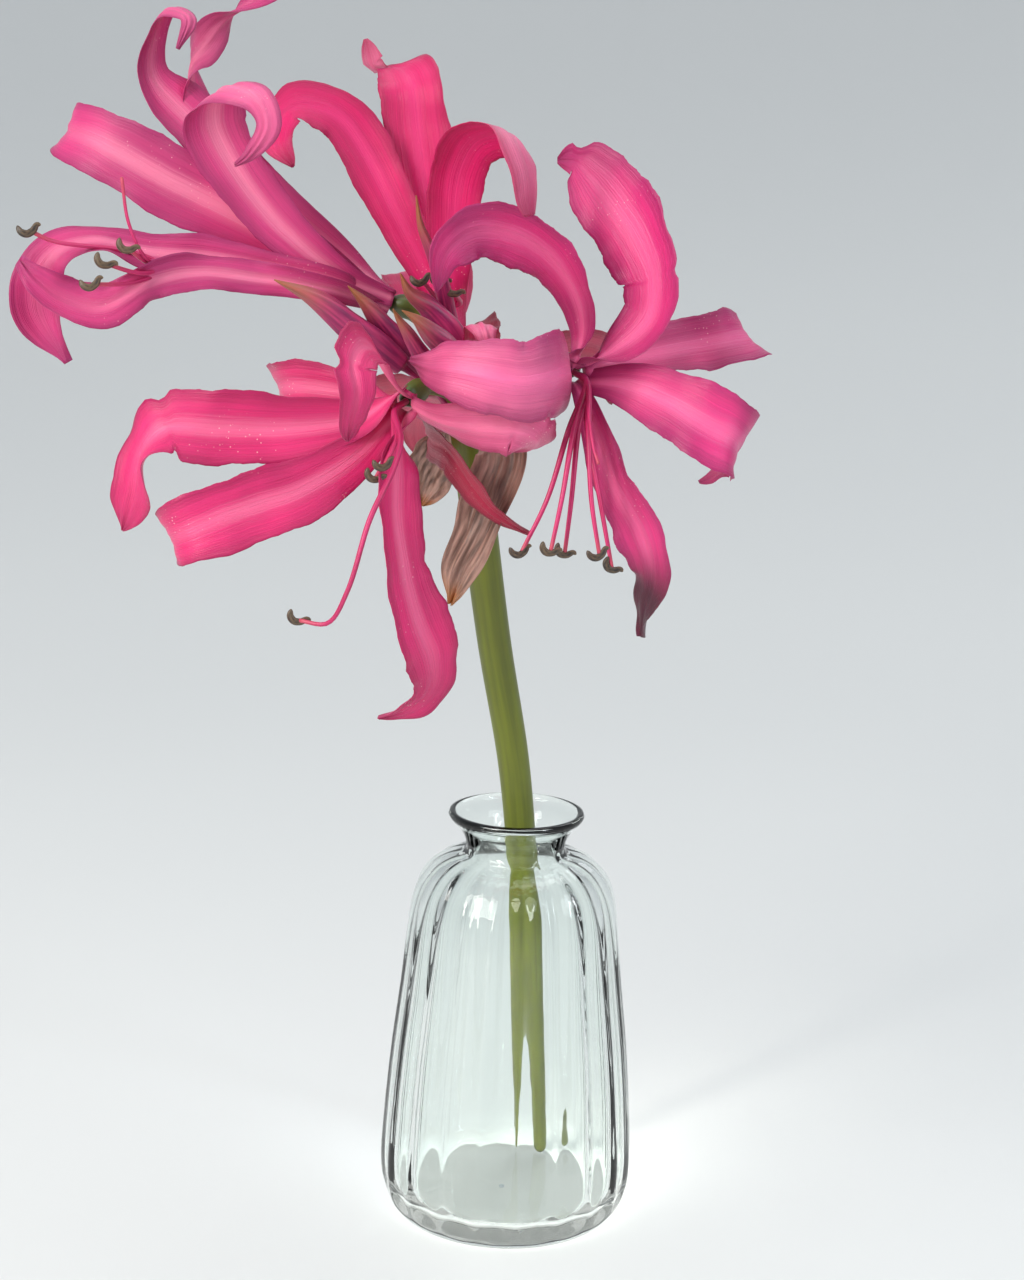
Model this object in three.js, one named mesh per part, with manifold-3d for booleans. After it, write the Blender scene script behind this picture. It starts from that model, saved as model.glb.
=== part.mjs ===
// A nerine stem in flower, standing in a small clear fluted glass bottle.
// Millimetres, +Z up. The origin is the middle of the bottle's underside.
import * as THREE from 'three';
import Module from 'manifold-3d';

const wasm = await Module();
wasm.setup();

// ---------------------------------------------------------------- driving dimensions
const GAP = 0.3;
const FLUTES = 20;
const FLUTE_DEPTH = 0.9;
const RIDGE_ANGLE = -84.5;
const FLOOR_TOP = 5.5;
const SCAPE_SIDES = 12;
const SCAPE_RADII = [3.5, 3.5, 3.6, 3.9];
const UMBEL = [-13.5, -27, 194.7];
const PEDICEL_RING = 2.7;
const BUD_RING = 1.1;
const THROAT_RING = 2.3;
const TUBE_LENGTH = 1.8;
const OVARY_LENGTH = 7;
const OVARY_RADIUS = 2.5;
const PEDICEL_RADIUS = 1.0;
const BUD_STALK_RADIUS = 0.45;
const TEPAL_THICKNESS = 0.9;
const TEPAL_CUP = 0.18;
const TEPAL_STATIONS = 15;
const BEND_ROOM = 0.7;
const FILAMENT_RADIUS = 0.45;
const ANTHER_RADIUS = 0.75;
const ANTHER_LENGTH = 5;

// Radius and height up the outside of the bottle, from the foot to the lip.
const BOTTLE_OUTSIDE = [
  [25.5, 0], [28.2, 2], [30.3, 7.5], [30.8, 13], [30.3, 24], [28.9, 41], [26.8, 59],
  [25.5, 72], [24.5, 79], [23, 83.6], [20, 87.4], [16.8, 89.3], [12.7, 90.5], [11.9, 91.8],
  [12.1, 93.8], [13.6, 96.6], [15.8, 99], [16.3, 100.1], [15.8, 101], [15, 101],
];
// The same down the inside, from the lip to the inner floor.
const BOTTLE_INSIDE = [
  [14.3, 100.2], [11.3, 96.6], [9.6, 93.8], [9.5, 91], [10.6, 88.4], [14.5, 86.6], [17.6, 84.4],
  [20.2, 80.5], [22, 74], [23.2, 66], [26.2, 40], [27.3, 24], [27.5, 13], [27, 9.5], [25.5, 6.5],
  [23.5, FLOOR_TOP],
];

// The flower stalk's middle line, from its cut foot up to the umbel.
const SCAPE = [
  [9, 18.5, 6.9], [4, 5.5, 61], [1.5, -3.5, 91.4], [-1.2, -10, 115.8], [-6.5, -18, 146],
  [-11.4, -25.5, 180.2], UMBEL,
];

// Share of the full width along a tepal, from its base to its tip.
const STRAP = [[0, 0.3], [0.1, 0.42], [0.3, 0.8], [0.55, 1], [0.75, 0.92], [0.9, 0.62], [1, 0.08]];
const SLIM_END = [[0, 0.3], [0.1, 0.42], [0.35, 0.85], [0.6, 1], [0.72, 0.6], [0.9, 0.35], [1, 0.08]];
const LONG_BASE = [[0, 0.3], [0.3, 0.65], [0.55, 0.8], [0.7, 0.8], [0.82, 1], [0.92, 0.7], [1, 0.08]];
const BROAD_BASE = [[0, 0.35], [0.12, 0.8], [0.25, 1], [0.5, 0.95], [0.7, 0.8], [0.85, 0.6], [1, 0.1]];

// Each flower: where its tepals start, the way its throat faces, and the turn of its ring of seats.
// A tepal's path rows are x, y, z and the twist in degrees about the path.
const FLOWERS = {
  a: {
    throat: [-31, -28, 222], heading: [-0.8, -0.2, 0.3], turn: 20, ring: 187,
    tepals: [
      { seat: 0, width: 15, path: [[-42, -31, 228, 0], [-58, -34, 237, 0], [-77, -36, 246, 0],
        [-93, -34, 254, 0], [-100, -28, 256, 0], [-100, -19, 256, 0], [-96, -16, 253, 0]] },
      { seat: 4, width: 13.5, shape: SLIM_END, path: [[-44, -26, 233, 20], [-59, -27, 244, 35],
        [-72, -29, 257, 40], [-82, -30, 268, 40], [-81, -31, 277, 60], [-78, -34, 281, 70],
        [-73, -38, 279, 60], [-75, -40, 273, 50]] },
      { seat: 5, width: 9, path: [[-47, -20, 234, 20], [-65, -20, 251, 30], [-74, -24, 263, 50],
        [-74, -25, 271, 110], [-71, -26, 275, 170], [-67, -27, 280, 230], [-62, -28, 283, 290],
        [-53, -28, 287, 360]] },
      { seat: 3, width: 13, shape: SLIM_END, path: [[-40, -34, 227, 0], [-53, -38, 237, 0],
        [-62, -42, 248, 0], [-67, -45, 258, 0], [-66, -49, 263, 10], [-62, -57, 265, 30],
        [-56, -61, 263, 60], [-54, -61, 258, 75], [-58, -58, 252, 60], [-61, -56, 250, 60]] },
      { seat: 1, width: 11, shape: LONG_BASE, path: [[-41, -36, 226, 0], [-56, -40, 229, 10],
        [-68, -44, 231, 30], [-81, -48, 232, 50], [-90, -52, 234, 55], [-97, -54, 232, 40],
        [-101, -54, 227, 10], [-102, -53, 220, 0], [-96, -52, 209, 60]] },
      { seat: 2, width: 10, shape: LONG_BASE, path: [[-43, -40, 225, 0], [-57, -44, 227, 10],
        [-70, -49, 228, 30], [-79, -54, 226, 10], [-88, -58, 221, 30], [-96, -60, 223, 40],
        [-101, -61, 227, 30], [-104, -60, 230, 60]] },
    ],
    stamens: [[[-75, -46, 229], [-83, -51, 232], [-97, -60, 234], [-101, -63, 236]],
      [[-75, -46, 229], [-79, -54, 230], [-82, -60, 233]],
      [[-74, -48, 229], [-80, -57, 228], [-86, -63, 230]],
      [[-74, -48, 228], [-82, -59, 226], [-88, -66, 226]]],
    style: [[-75, -46, 230], [-79, -56, 231], [-82, -59, 238], [-83, -61, 247]],
  },
  b: {
    throat: [-18, -20, 215], heading: [-0.1, 0, 1], turn: 30, ring: 135,
    tepals: [
      { seat: 0, width: 12, path: [[-22, -21, 224, 0], [-30, -20, 240, 0], [-38, -18, 254, 20],
        [-44, -18, 261, 30], [-51, -20, 263, 40], [-55, -22, 261, 50], [-56, -26, 255, 60],
        [-52, -30, 250, 60]] },
      { seat: 5, width: 14.5, path: [[-21, -16, 226, 0], [-24, -14, 244, 0], [-27, -13, 259, 0],
        [-28, -12, 267, 0], [-30, -7, 271, 0], [-33, -3, 272, 20], [-37, -3, 272, 60],
        [-39, -3, 278, 80]] },
      { seat: 2, width: 13, path: [[-18, -27, 227, 0], [-18, -30, 240, 0], [-17, -33, 250, 0],
        [-15, -37, 255, 0], [-11, -46, 258, 10], [-6, -53, 257, 10], [-2, -56, 252, 0],
        [-1, -50, 242, 0]] },
      { seat: 1, width: 8, path: [[-14, -33, 213, 0], [-11, -42, 216, 0], [-11, -46, 219, 0],
        [-10, -50, 218, 0], [-9, -50, 214, 0]] },
      { seat: 3, width: 12, path: [[-18, -4, 222, 0], [-20, 8, 230, 0], [-21, 20, 236, 0],
        [-22, 30, 236, 0], [-22, 36, 230, 0], [-22, 36, 222, 0]] },
      { seat: 4, width: 12, path: [[-23, -4, 219, 0], [-27, 8, 223, 0], [-30, 20, 226, 0],
        [-32, 30, 224, 0], [-33, 36, 217, 0]] },
    ],
    stamens: [[[-21, -26, 223], [-24, -32, 227]], [[-18, -26, 223], [-20, -35, 227]],
      [[-16, -26, 222], [-17, -37, 225]]],
  },
  c: {
    throat: [9, -38, 209], heading: [0.45, -0.8, -0.25], turn: 20, ring: -26,
    tepals: [
      { seat: 4, width: 18, path: [[17, -41, 214, 0], [24, -43, 221, 0], [25, -43, 229, 0],
        [22, -40, 237, 10], [17, -36, 244, 25], [12, -32, 250, 30], [8, -30, 253, 40],
        [4, -30, 253, 40]] },
      { seat: 3, width: 15, path: [[15, -37, 211, 0], [23, -28, 212, 0], [37, -22, 214, 0],
        [46, -20, 216, 0], [51, -15, 217, 0], [52, -8, 216, 0], [49, -2, 212, 0]] },
      { seat: 2, width: 16, path: [[19, -42, 207, 0], [29, -46, 204, 0], [37, -49, 200, 0],
        [43, -48, 197, 0], [44, -40, 193, 0], [37, -36, 186, 0]] },
      { seat: 1, width: 11, path: [[13, -43, 200, 0], [18, -46, 187, 0], [24, -48, 177, 0],
        [27, -46, 167, 20], [26, -42, 159, 40], [26, -38, 152, 60]] },
      { seat: 5, width: 13, path: [[10.5, -38, 216, 0], [9, -42, 225, 10], [3, -46, 233.5, 30],
        [-5, -50, 238, 50], [-13, -54, 238.5, 65], [-18.5, -57, 234, 70], [-20, -58, 226, 60]] },
      { seat: 0, width: 18, shape: BROAD_BASE, across: [1, 0, 0], path: [[7, -54, 210, -10],
        [4, -63, 210, -15], [-2, -67, 209, -15], [-8, -68, 210, -10], [-16, -65, 211, -10],
        [-21, -60, 211, -10], [-25, -56, 212, -20]] },
    ],
    stamens: [[[8, -50, 198], [4, -54, 184], [-1, -56, 173]],
      [[9, -52, 198], [7, -58, 185], [5, -60, 174]], [[10, -50, 198], [9, -55, 184], [8, -56, 173]],
      [[12, -54, 199], [13, -60, 185], [15, -62, 174]],
      [[12, -50, 198], [15, -54, 184], [18, -55, 170]]],
    style: [[12, -58, 201], [13, -62, 196], [14, -64, 193]],
  },
  d: {
    throat: [-26, -50, 203], heading: [-0.35, -0.85, -0.25], turn: 0, ring: 241,
    tepals: [
      { seat: 5, width: 15.5, path: [[-35, -56, 200, 0], [-49, -62, 198, 0], [-63, -66, 198, 0],
        [-73, -68, 198, 20], [-78, -68, 193, 50], [-80, -66, 184, 20], [-83, -62, 176, 10]] },
      { seat: 1, width: 14.5, path: [[-35, -58, 193, 0], [-46, -65, 186, 0], [-58, -70, 182, 0],
        [-68, -72, 178, 0], [-72, -68, 176, 0], [-72, -60, 175, 0], [-68, -56, 176, 0]] },
      { seat: 2, width: 13, path: [[-27, -58, 194, 0], [-27, -64, 182, 0], [-25, -68, 171, 0],
        [-22, -68, 160, 10], [-19, -65, 152, 30], [-19, -62, 145, 30], [-23, -60, 140, 30],
        [-30, -58, 137, 40]] },
      { seat: 3, width: 12.5, path: [[-19, -56, 200, -15], [-10, -60, 199, -32], [-3, -61, 199, -38],
        [1, -57, 197, -25], [0, -50, 194, 0], [-4, -46, 193, 0]] },
      { seat: 0, width: 12, path: [[-34, -43, 203, 0], [-43, -40, 204, 0], [-50, -37, 204, 0],
        [-54, -31, 203, 0], [-54, -23, 201, 0], [-49, -21, 201, 0]] },
      { seat: 4, width: 10, path: [[-29, -60, 209, 0], [-32, -68, 215, 0], [-34, -76, 216, 0],
        [-35, -83, 213, 10], [-34, -85, 208, 10], [-35, -83, 203, 10], [-36, -79, 198, 0]] },
    ],
    stamens: [[[-27, -64, 197], [-29, -68, 192]], [[-28, -62, 195], [-31, -66, 189]],
      [[-26, -68, 197], [-27, -76, 192], [-31, -82, 183], [-35, -84, 169], [-39, -82, 162],
        [-45, -80, 162]]],
  },
  e: {
    throat: [-14, -9, 199], heading: [0, 0.95, 0.1], turn: 30, ring: 70,
    tepals: [
      { seat: 1, width: 9, path: [[-19, -10, 194, 0], [-22, -22, 193, 0], [-21, -36, 193, 0],
        [-17, -46, 192, 0], [-12.3, -49, 186, 0], [-7.9, -49, 181, 0], [-3.6, -48.5, 178, 0],
        [0.9, -48, 175.5, 0]] },
      { seat: 0, width: 11, path: [[0, 4, 205, 0], [8, 14, 209, 0], [16, 23, 208, 0],
        [20, 30, 202, 0], [20, 34, 195, 0]] },
      { seat: 4, width: 12, path: [[-13, 3, 206, 0], [-13, 12, 212, 0], [-14, 22, 214, 0],
        [-15, 30, 210, 0], [-15, 34, 203, 0]] },
      { seat: 3, width: 12, path: [[-23, 3, 200, 0], [-33, 12, 198, 0], [-41, 20, 195, 0],
        [-45, 27, 190, 0], [-45, 31, 185, 0]] },
      { seat: 2, width: 11, path: [[-19, 3, 197, 0], [-23, 12, 196, 0], [-26, 22, 192, 0],
        [-27, 30, 186, 0], [-26, 33, 180, 0]] },
      { seat: 5, width: 11, path: [[-8, 4, 203, 0], [-3, 12, 206, 0], [2, 20, 206, 0],
        [5, 27, 202, 0], [5, 31, 195, 0]] },
    ],
    stamens: [[[-13, 6, 199], [-10, 24, 195]], [[-14, 6, 200], [-16, 26, 198]],
      [[-15, 6, 201], [-20, 24, 203]]],
  },
};

// Slim pointed buds: widest radius, start angle on the umbel, and the middle line to the tip.
const BUDS = [
  { radius: 3.2, ring: 200, path: [[-20, -34, 203], [-26, -38, 208], [-36, -42, 216], [-45, -45, 223],
    [-54, -47, 227]] },
  { radius: 2.8, ring: 155, path: [[-23, -31, 206], [-27, -35, 212], [-31, -38, 217], [-35, -41, 222],
    [-39, -43, 226]] },
  { radius: 2.0, ring: 240, path: [[-19, -37, 206], [-23, -43, 212], [-26, -47, 217], [-28, -49, 220],
    [-29, -51, 222]] },
  { radius: 2.8, ring: 290, path: [[-14, -37, 205], [-17, -44, 213], [-21, -49, 217], [-24, -52, 220],
    [-27, -54, 222]] },
  { radius: 2.8, ring: 20, path: [[-15, -31, 207], [-17, -37, 216], [-22, -40, 222], [-26, -43, 225],
    [-28, -45, 229]] },
  { radius: 1.7, ring: 90, path: [[-14, -28, 208], [-18, -33, 220], [-21, -41, 232], [-24, -44, 239],
    [-25, -46, 245]] },
];

// The two papery bracts under the umbel.
const SPATHES = [
  { width: 12.5, path: [[-8, -31.5, 196, 0], [-5, -37, 191, 0], [-7, -41, 184, 0], [-10, -43, 175, 0],
    [-14, -42, 166, 0], [-16, -38, 158, 0]] },
  { width: 12, path: [[-18.5, -24, 193.5, 0], [-20, -21, 188, 0], [-22, -18, 183, 0],
    [-24, -15, 176, 0]] },
];

// ---------------------------------------------------------------- materials
function material(colour, roughness, options = {}) {
  return new THREE.MeshStandardMaterial({ color: colour, roughness, metalness: 0, ...options });
}

const MATERIALS = {
  glass: material(0xdfe8e4, 0.05, { transparent: true, opacity: 0.35 }),
  stem: material(0x667018, 0.45),
  a: material(0xc84678, 0.5),
  b: material(0xdc2864, 0.5),
  c: material(0xe050a0, 0.5),
  d: material(0xcd3c6e, 0.5),
  e: material(0xaa0a37, 0.5),
  bud: material(0x8a2858, 0.5),
  spathe: material(0xb98f7c, 0.8),
  stamen: material(0xc02060, 0.5),
};

// ---------------------------------------------------------------- shape helpers
const vector = (row) => new THREE.Vector3(row[0], row[1], row[2]);

function lookUp(table, s) {
  const last = table.findIndex((row) => row[0] >= s);
  if (last <= 0) return table[last === 0 ? 0 : table.length - 1][1];
  const [s0, v0] = table[last - 1];
  const [s1, v1] = table[last];
  return v0 + ((v1 - v0) * (s - s0)) / (s1 - s0);
}

// A closed mesh through rings of equal point count, with fans over the two ends.
function closedGeometry(rings) {
  const count = rings[0].length;
  const positions = rings.flat().flatMap((p) => [p.x, p.y, p.z]);
  const triangles = [];
  for (let r = 0; r + 1 < rings.length; r += 1) {
    for (let k = 0; k < count; k += 1) {
      const a = r * count + k;
      const b = r * count + ((k + 1) % count);
      triangles.push([a, b, b + count], [a, b + count, a + count]);
    }
  }
  const end = (rings.length - 1) * count;
  for (let k = 1; k + 1 < count; k += 1) {
    triangles.push([0, k + 1, k], [end, end + k, end + k + 1]);
  }
  return geometryFrom(positions, triangles);
}

// Six times the enclosed volume; negative when the faces point inward.
function signedVolume(positions, triangles) {
  const corner = (i) => new THREE.Vector3().fromArray(positions, 3 * i);
  let sum = 0;
  for (const [a, b, c] of triangles) sum += corner(a).dot(corner(b).cross(corner(c)));
  return sum;
}

function geometryFrom(positions, triangles) {
  const inward = signedVolume(positions, triangles) < 0;
  const order = inward ? triangles.map(([a, b, c]) => [a, c, b]) : triangles;
  const geometry = new THREE.BufferGeometry();
  geometry.setAttribute('position', new THREE.Float32BufferAttribute(positions, 3));
  geometry.setIndex(order.flat());
  return geometry;
}

// Middle points, side directions and outward directions at even steps along a path.
// The side direction is carried along the path without spinning, then turned by the twist.
// bend is the part of the path's curvature that lies in the plane of the side direction, per mm.
function stationsAlong(path, count, across) {
  const curve = new THREE.CatmullRomCurve3(path.map(vector), false, 'centripetal');
  const stations = [];
  let side = null;
  for (let i = 0; i < count; i += 1) {
    const s = i / (count - 1);
    const t = curve.getUtoTmapping(s);
    const middle = curve.getPoint(t);
    const along = curve.getTangent(t);
    side = side ?? along.clone().cross(vector(across));
    side = side.clone().addScaledVector(along, -side.dot(along)).normalize();
    const out = along.clone().cross(side);
    const place = t * (path.length - 1);
    const row = Math.min(Math.floor(place), path.length - 2);
    const twist = THREE.MathUtils.lerp(path[row][3] ?? 0, path[row + 1][3] ?? 0, place - row);
    const turn = THREE.MathUtils.degToRad(twist);
    stations.push({
      s,
      middle,
      along,
      side: side.clone().multiplyScalar(Math.cos(turn)).addScaledVector(out, Math.sin(turn)),
      out: out.clone().multiplyScalar(Math.cos(turn)).addScaledVector(side, -Math.sin(turn)),
    });
  }
  const step = curve.getLength() / (count - 1);
  stations.forEach((station, i) => {
    const before = stations[Math.max(i - 1, 0)];
    const after = stations[Math.min(i + 1, count - 1)];
    const change = after.along.clone().sub(before.along).divideScalar(2 * step);
    station.bend = Math.abs(change.dot(station.side));
  });
  return stations;
}

// Sweeps a section, given as pairs of (across, out) for each station.
function sweep(stations, sectionAt, grow) {
  const rings = stations.map((station) => {
    const { s, middle, along, side, out } = station;
    const shift = s === 0 ? -grow : s === 1 ? grow : 0;
    const centre = middle.clone().addScaledVector(along, shift);
    return sectionAt(station).map(([u, v]) => centre.clone().addScaledVector(side, u).addScaledVector(out, v));
  });
  return closedGeometry(rings);
}

function roundRod(path, radiusAt, sides, count, grow = 0) {
  const section = ({ s }) => Array.from({ length: sides }, (_, k) => {
    const angle = (2 * Math.PI * k) / sides;
    const radius = radiusAt(s) + grow;
    return [radius * Math.cos(angle), radius * Math.sin(angle)];
  });
  return sweep(stationsAlong(path, count, [0, 1, 0.1]), section, grow);
}

// A tepal is a thin blade, thickest on its midrib and dished by the cup.
// Where it bends edgeways it is no wider than the bend leaves room for.
function blade(stations, width, shape, grow) {
  const section = ({ s, bend }) => {
    const half = Math.min(0.5 * width * lookUp(shape, s), BEND_ROOM / Math.max(bend, 0.01));
    const rise = TEPAL_CUP * half;
    const thick = 0.5 * TEPAL_THICKNESS;
    if (grow === 0) return [[0, -thick], [half, rise], [0, thick], [-half, rise]];
    const reach = half + grow;
    return [[0, -thick - grow], [reach, rise - grow], [reach, rise + grow], [0, thick + grow],
      [-reach, rise + grow], [-reach, rise - grow]];
  };
  return sweep(stations, section, grow);
}

// ---------------------------------------------------------------- solids
function solidFrom(geometry) {
  const vertProperties = new Float32Array(geometry.attributes.position.array);
  const triVerts = new Uint32Array(geometry.index.array);
  return new wasm.Manifold(new wasm.Mesh({ numProp: 3, vertProperties, triVerts }));
}

function geometryOf(solid) {
  const { vertProperties, triVerts } = solid.getMesh();
  const geometry = new THREE.BufferGeometry();
  geometry.setAttribute('position', new THREE.Float32BufferAttribute(vertProperties, 3));
  geometry.setIndex([...triVerts]);
  return geometry;
}

function largestBody(solid) {
  const bodies = solid.decompose();
  return bodies.reduce((best, body) => (body.volume() > best.volume() ? body : best));
}

const group = new THREE.Group();
const placed = [];

// Adds a piece, cut back where an earlier piece with its clearance would touch it.
// make(grow) gives the piece's geometry, fattened all round by grow.
function place(name, look, make) {
  let solid = solidFrom(make(0));
  for (const other of placed) {
    if (solid.intersect(other).isEmpty()) continue;
    solid = largestBody(solid.subtract(other));
  }
  placed.push(solidFrom(make(GAP)));
  const mesh = new THREE.Mesh(geometryOf(solid), MATERIALS[look]);
  mesh.name = name;
  group.add(mesh);
}

// ---------------------------------------------------------------- bottle
const smooth = THREE.MathUtils.smoothstep;

// How deep the flutes are at a height: none on the foot, the neck and the inside.
const fluteDepth = (z) => FLUTE_DEPTH * smooth(z, 1, 9) * (1 - smooth(z, 89.5, 91));

function bottleGeometry() {
  const sides = 2 * FLUTES;
  const start = THREE.MathUtils.degToRad(RIDGE_ANGLE);
  const rows = [...BOTTLE_OUTSIDE.map(([r, z]) => [r, z, fluteDepth(z)]),
    ...BOTTLE_INSIDE.map(([r, z]) => [r, z, 0])];
  const rings = rows.map(([radius, z, depth]) => Array.from({ length: sides }, (_, k) => {
    const angle = start + (Math.PI * k) / FLUTES;
    const reach = radius - (k % 2) * depth;
    return new THREE.Vector3(reach * Math.cos(angle), reach * Math.sin(angle), z);
  }));
  return closedGeometry(rings);
}

const bottle = new THREE.Mesh(bottleGeometry(), MATERIALS.glass);
bottle.name = 'glass_bottle';
group.add(bottle);

// ---------------------------------------------------------------- stalks
const scapeRadius = (s) => lookUp(SCAPE_RADII.map((r, i) => [i / (SCAPE_RADII.length - 1), r]), s);
place('scape', 'stem', (grow) => roundRod(SCAPE, scapeRadius, SCAPE_SIDES, 14, grow));

function umbelPoint(degrees, radius, lift) {
  const angle = THREE.MathUtils.degToRad(degrees);
  return [UMBEL[0] + radius * Math.cos(angle), UMBEL[1] + radius * Math.sin(angle), UMBEL[2] + lift];
}

// Unit vectors across a flower's throat: sideways, and square to that.
function throatAxes(flower) {
  const heading = vector(flower.heading).normalize();
  const reference = Math.abs(heading.z) < 0.9 ? vector([0, 0, 1]) : vector([0, 1, 0]);
  const first = heading.clone().cross(reference).normalize();
  return { heading, first, second: heading.clone().cross(first) };
}

const PEDICEL_SHAPE = [[0, PEDICEL_RADIUS], [0.62, PEDICEL_RADIUS], [0.8, OVARY_RADIUS],
  [0.9, OVARY_RADIUS], [1, 0.6 * OVARY_RADIUS]];

for (const [letter, flower] of Object.entries(FLOWERS)) {
  const { heading } = throatAxes(flower);
  const top = vector(flower.throat).addScaledVector(heading, -2 * GAP);
  const below = vector(flower.throat).addScaledVector(heading, -OVARY_LENGTH);
  const foot = umbelPoint(flower.ring, PEDICEL_RING, 2 * GAP);
  const knee = umbelPoint(flower.ring, 1.5 * PEDICEL_RING, 6);
  const path = [foot, knee, below.toArray(), top.toArray()];
  const radius = (s) => lookUp(PEDICEL_SHAPE, s);
  place(`pedicel_${letter}`, 'stem', (grow) => roundRod(path, radius, 8, 10, grow));
}

// ---------------------------------------------------------------- stamens
// The last stretch of each filament carries a stout anther lying across its tip.
function rodSolid(path, radius, count) {
  return solidFrom(roundRod(path, () => radius, 4, count));
}

function antherPath(tip) {
  const half = 0.5 * ANTHER_LENGTH;
  const [x, y, z] = tip;
  return [[x - half, y, z + 0.8], [x, y, z], [x + half, y, z + 0.8]];
}

function stamenCluster(flower) {
  const { heading } = throatAxes(flower);
  const root = vector(flower.throat).toArray();
  const neck = vector(flower.throat).addScaledVector(heading, 3 * TUBE_LENGTH).toArray();
  let cluster = rodSolid([root, neck], 2 * FILAMENT_RADIUS, 2);
  for (const path of flower.stamens) {
    cluster = cluster.add(rodSolid([root, neck, ...path], FILAMENT_RADIUS, 7));
    cluster = cluster.add(rodSolid(antherPath(path.at(-1)), ANTHER_RADIUS, 3));
  }
  if (flower.style) cluster = cluster.add(rodSolid([root, neck, ...flower.style], FILAMENT_RADIUS, 7));
  return geometryOf(largestBody(cluster));
}

for (const [letter, flower] of Object.entries(FLOWERS)) {
  place(`stamens_${letter}`, 'stamen', () => stamenCluster(flower));
}

// ---------------------------------------------------------------- tepals
function tepalPath(flower, tepal) {
  const { heading, first, second } = throatAxes(flower);
  const angle = THREE.MathUtils.degToRad(flower.turn + 60 * tepal.seat);
  const seat = vector(flower.throat)
    .addScaledVector(first, THROAT_RING * Math.cos(angle))
    .addScaledVector(second, THROAT_RING * Math.sin(angle));
  const tubeEnd = seat.clone().addScaledVector(heading, TUBE_LENGTH);
  const twist = tepal.path[0][3];
  return [[...seat.toArray(), twist], [...tubeEnd.toArray(), twist], ...tepal.path];
}

for (const [letter, flower] of Object.entries(FLOWERS)) {
  flower.tepals.forEach((tepal, index) => {
    const stations = stationsAlong(tepalPath(flower, tepal), TEPAL_STATIONS, tepal.across ?? [0, 1, 0]);
    const shape = tepal.shape ?? STRAP;
    place(`tepal_${letter}${index + 1}`, letter, (grow) => blade(stations, tepal.width, shape, grow));
  });
}

// ---------------------------------------------------------------- buds and spathes
BUDS.forEach((bud, index) => {
  const path = [umbelPoint(bud.ring, BUD_RING, 2 * GAP), ...bud.path];
  const shape = [[0, BUD_STALK_RADIUS], [0.3, BUD_STALK_RADIUS], [0.42, 0.7 * bud.radius],
    [0.58, bud.radius], [0.75, 0.8 * bud.radius], [1, 0.2]];
  const radius = (s) => lookUp(shape, s);
  place(`bud_${index + 1}`, 'bud', (grow) => roundRod(path, radius, 6, 9, grow));
});

SPATHES.forEach((spathe, index) => {
  const stations = stationsAlong(spathe.path, 8, [0, 1, 0]);
  place(`spathe_${index + 1}`, 'spathe', (grow) => blade(stations, spathe.width, BROAD_BASE, grow));
});

export default group;
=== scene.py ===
import math

import bpy
import numpy as np
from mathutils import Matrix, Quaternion


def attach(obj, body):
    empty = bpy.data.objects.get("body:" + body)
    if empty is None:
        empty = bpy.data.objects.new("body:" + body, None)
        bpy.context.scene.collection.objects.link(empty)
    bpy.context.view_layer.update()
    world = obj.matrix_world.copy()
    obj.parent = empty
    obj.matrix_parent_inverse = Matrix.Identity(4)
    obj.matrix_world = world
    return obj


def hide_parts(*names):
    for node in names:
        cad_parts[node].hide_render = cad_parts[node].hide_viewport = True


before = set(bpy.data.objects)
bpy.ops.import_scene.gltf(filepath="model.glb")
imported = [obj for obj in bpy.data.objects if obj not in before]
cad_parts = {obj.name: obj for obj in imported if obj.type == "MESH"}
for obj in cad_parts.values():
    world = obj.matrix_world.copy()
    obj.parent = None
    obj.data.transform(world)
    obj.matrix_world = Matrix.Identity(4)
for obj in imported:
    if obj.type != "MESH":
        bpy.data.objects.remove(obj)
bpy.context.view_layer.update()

bl_info = {
    "name": "Nerine in a fluted bottle",
    "version": (1, 0, 0),
    "blender": (4, 5, 0),
    "location": "View3D > Sidebar > Nerine",
    "description": "A nerine umbel in flower, standing in a small clear fluted glass bottle",
    "category": "Add Mesh",
}

MM = 0.001

# ---------------------------------------------------------------- bottle outline, millimetres
BOTTLE_OUTSIDE = [
    (0, 0), (20, 0), (25.5, 0), (28.2, 2), (30.3, 7.5), (30.8, 13), (30.3, 24), (28.9, 41), (26.8, 59),
    (25.5, 72), (24.5, 79), (23, 83.6), (20, 87.4), (16.8, 89.3), (12.7, 90.5), (11.9, 91.8),
    (12.1, 93.8), (13.6, 96.6), (15.8, 99), (16.3, 100.1), (15.8, 100.8), (15.1, 100.9),
]
BOTTLE_INSIDE = [
    (14.3, 100.2), (11.3, 96.6), (9.6, 93.8), (9.5, 91), (10.6, 88.4), (14.5, 86.6), (17.6, 84.4),
    (20.2, 80.5), (22, 74), (23.2, 66), (26.2, 40), (27.3, 24), (27.5, 13), (27, 9.5), (25.5, 6.5),
    (23.5, 5.5), (12, 5.5), (0, 5.5),
]
RIDGE_ANGLE = math.radians(-84.5)

# ---------------------------------------------------------------- stalk and umbel, millimetres
SCAPE = [
    (9, 18.5, 6.9), (4, 5.5, 61), (1.5, -3.5, 91.4), (-1.2, -10, 115.8), (-6.5, -18, 146),
    (-11.4, -25.5, 180.2), (-13.5, -27, 194.7),
]
UMBEL = np.array([-13.5, -27, 194.7])
PEDICEL_RING = 2.7
BUD_RING = 1.1
THROAT_RING = 2.3
TUBE_LENGTH = 1.8
OVARY_LENGTH = 7
BEND_ROOM = 0.7

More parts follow.
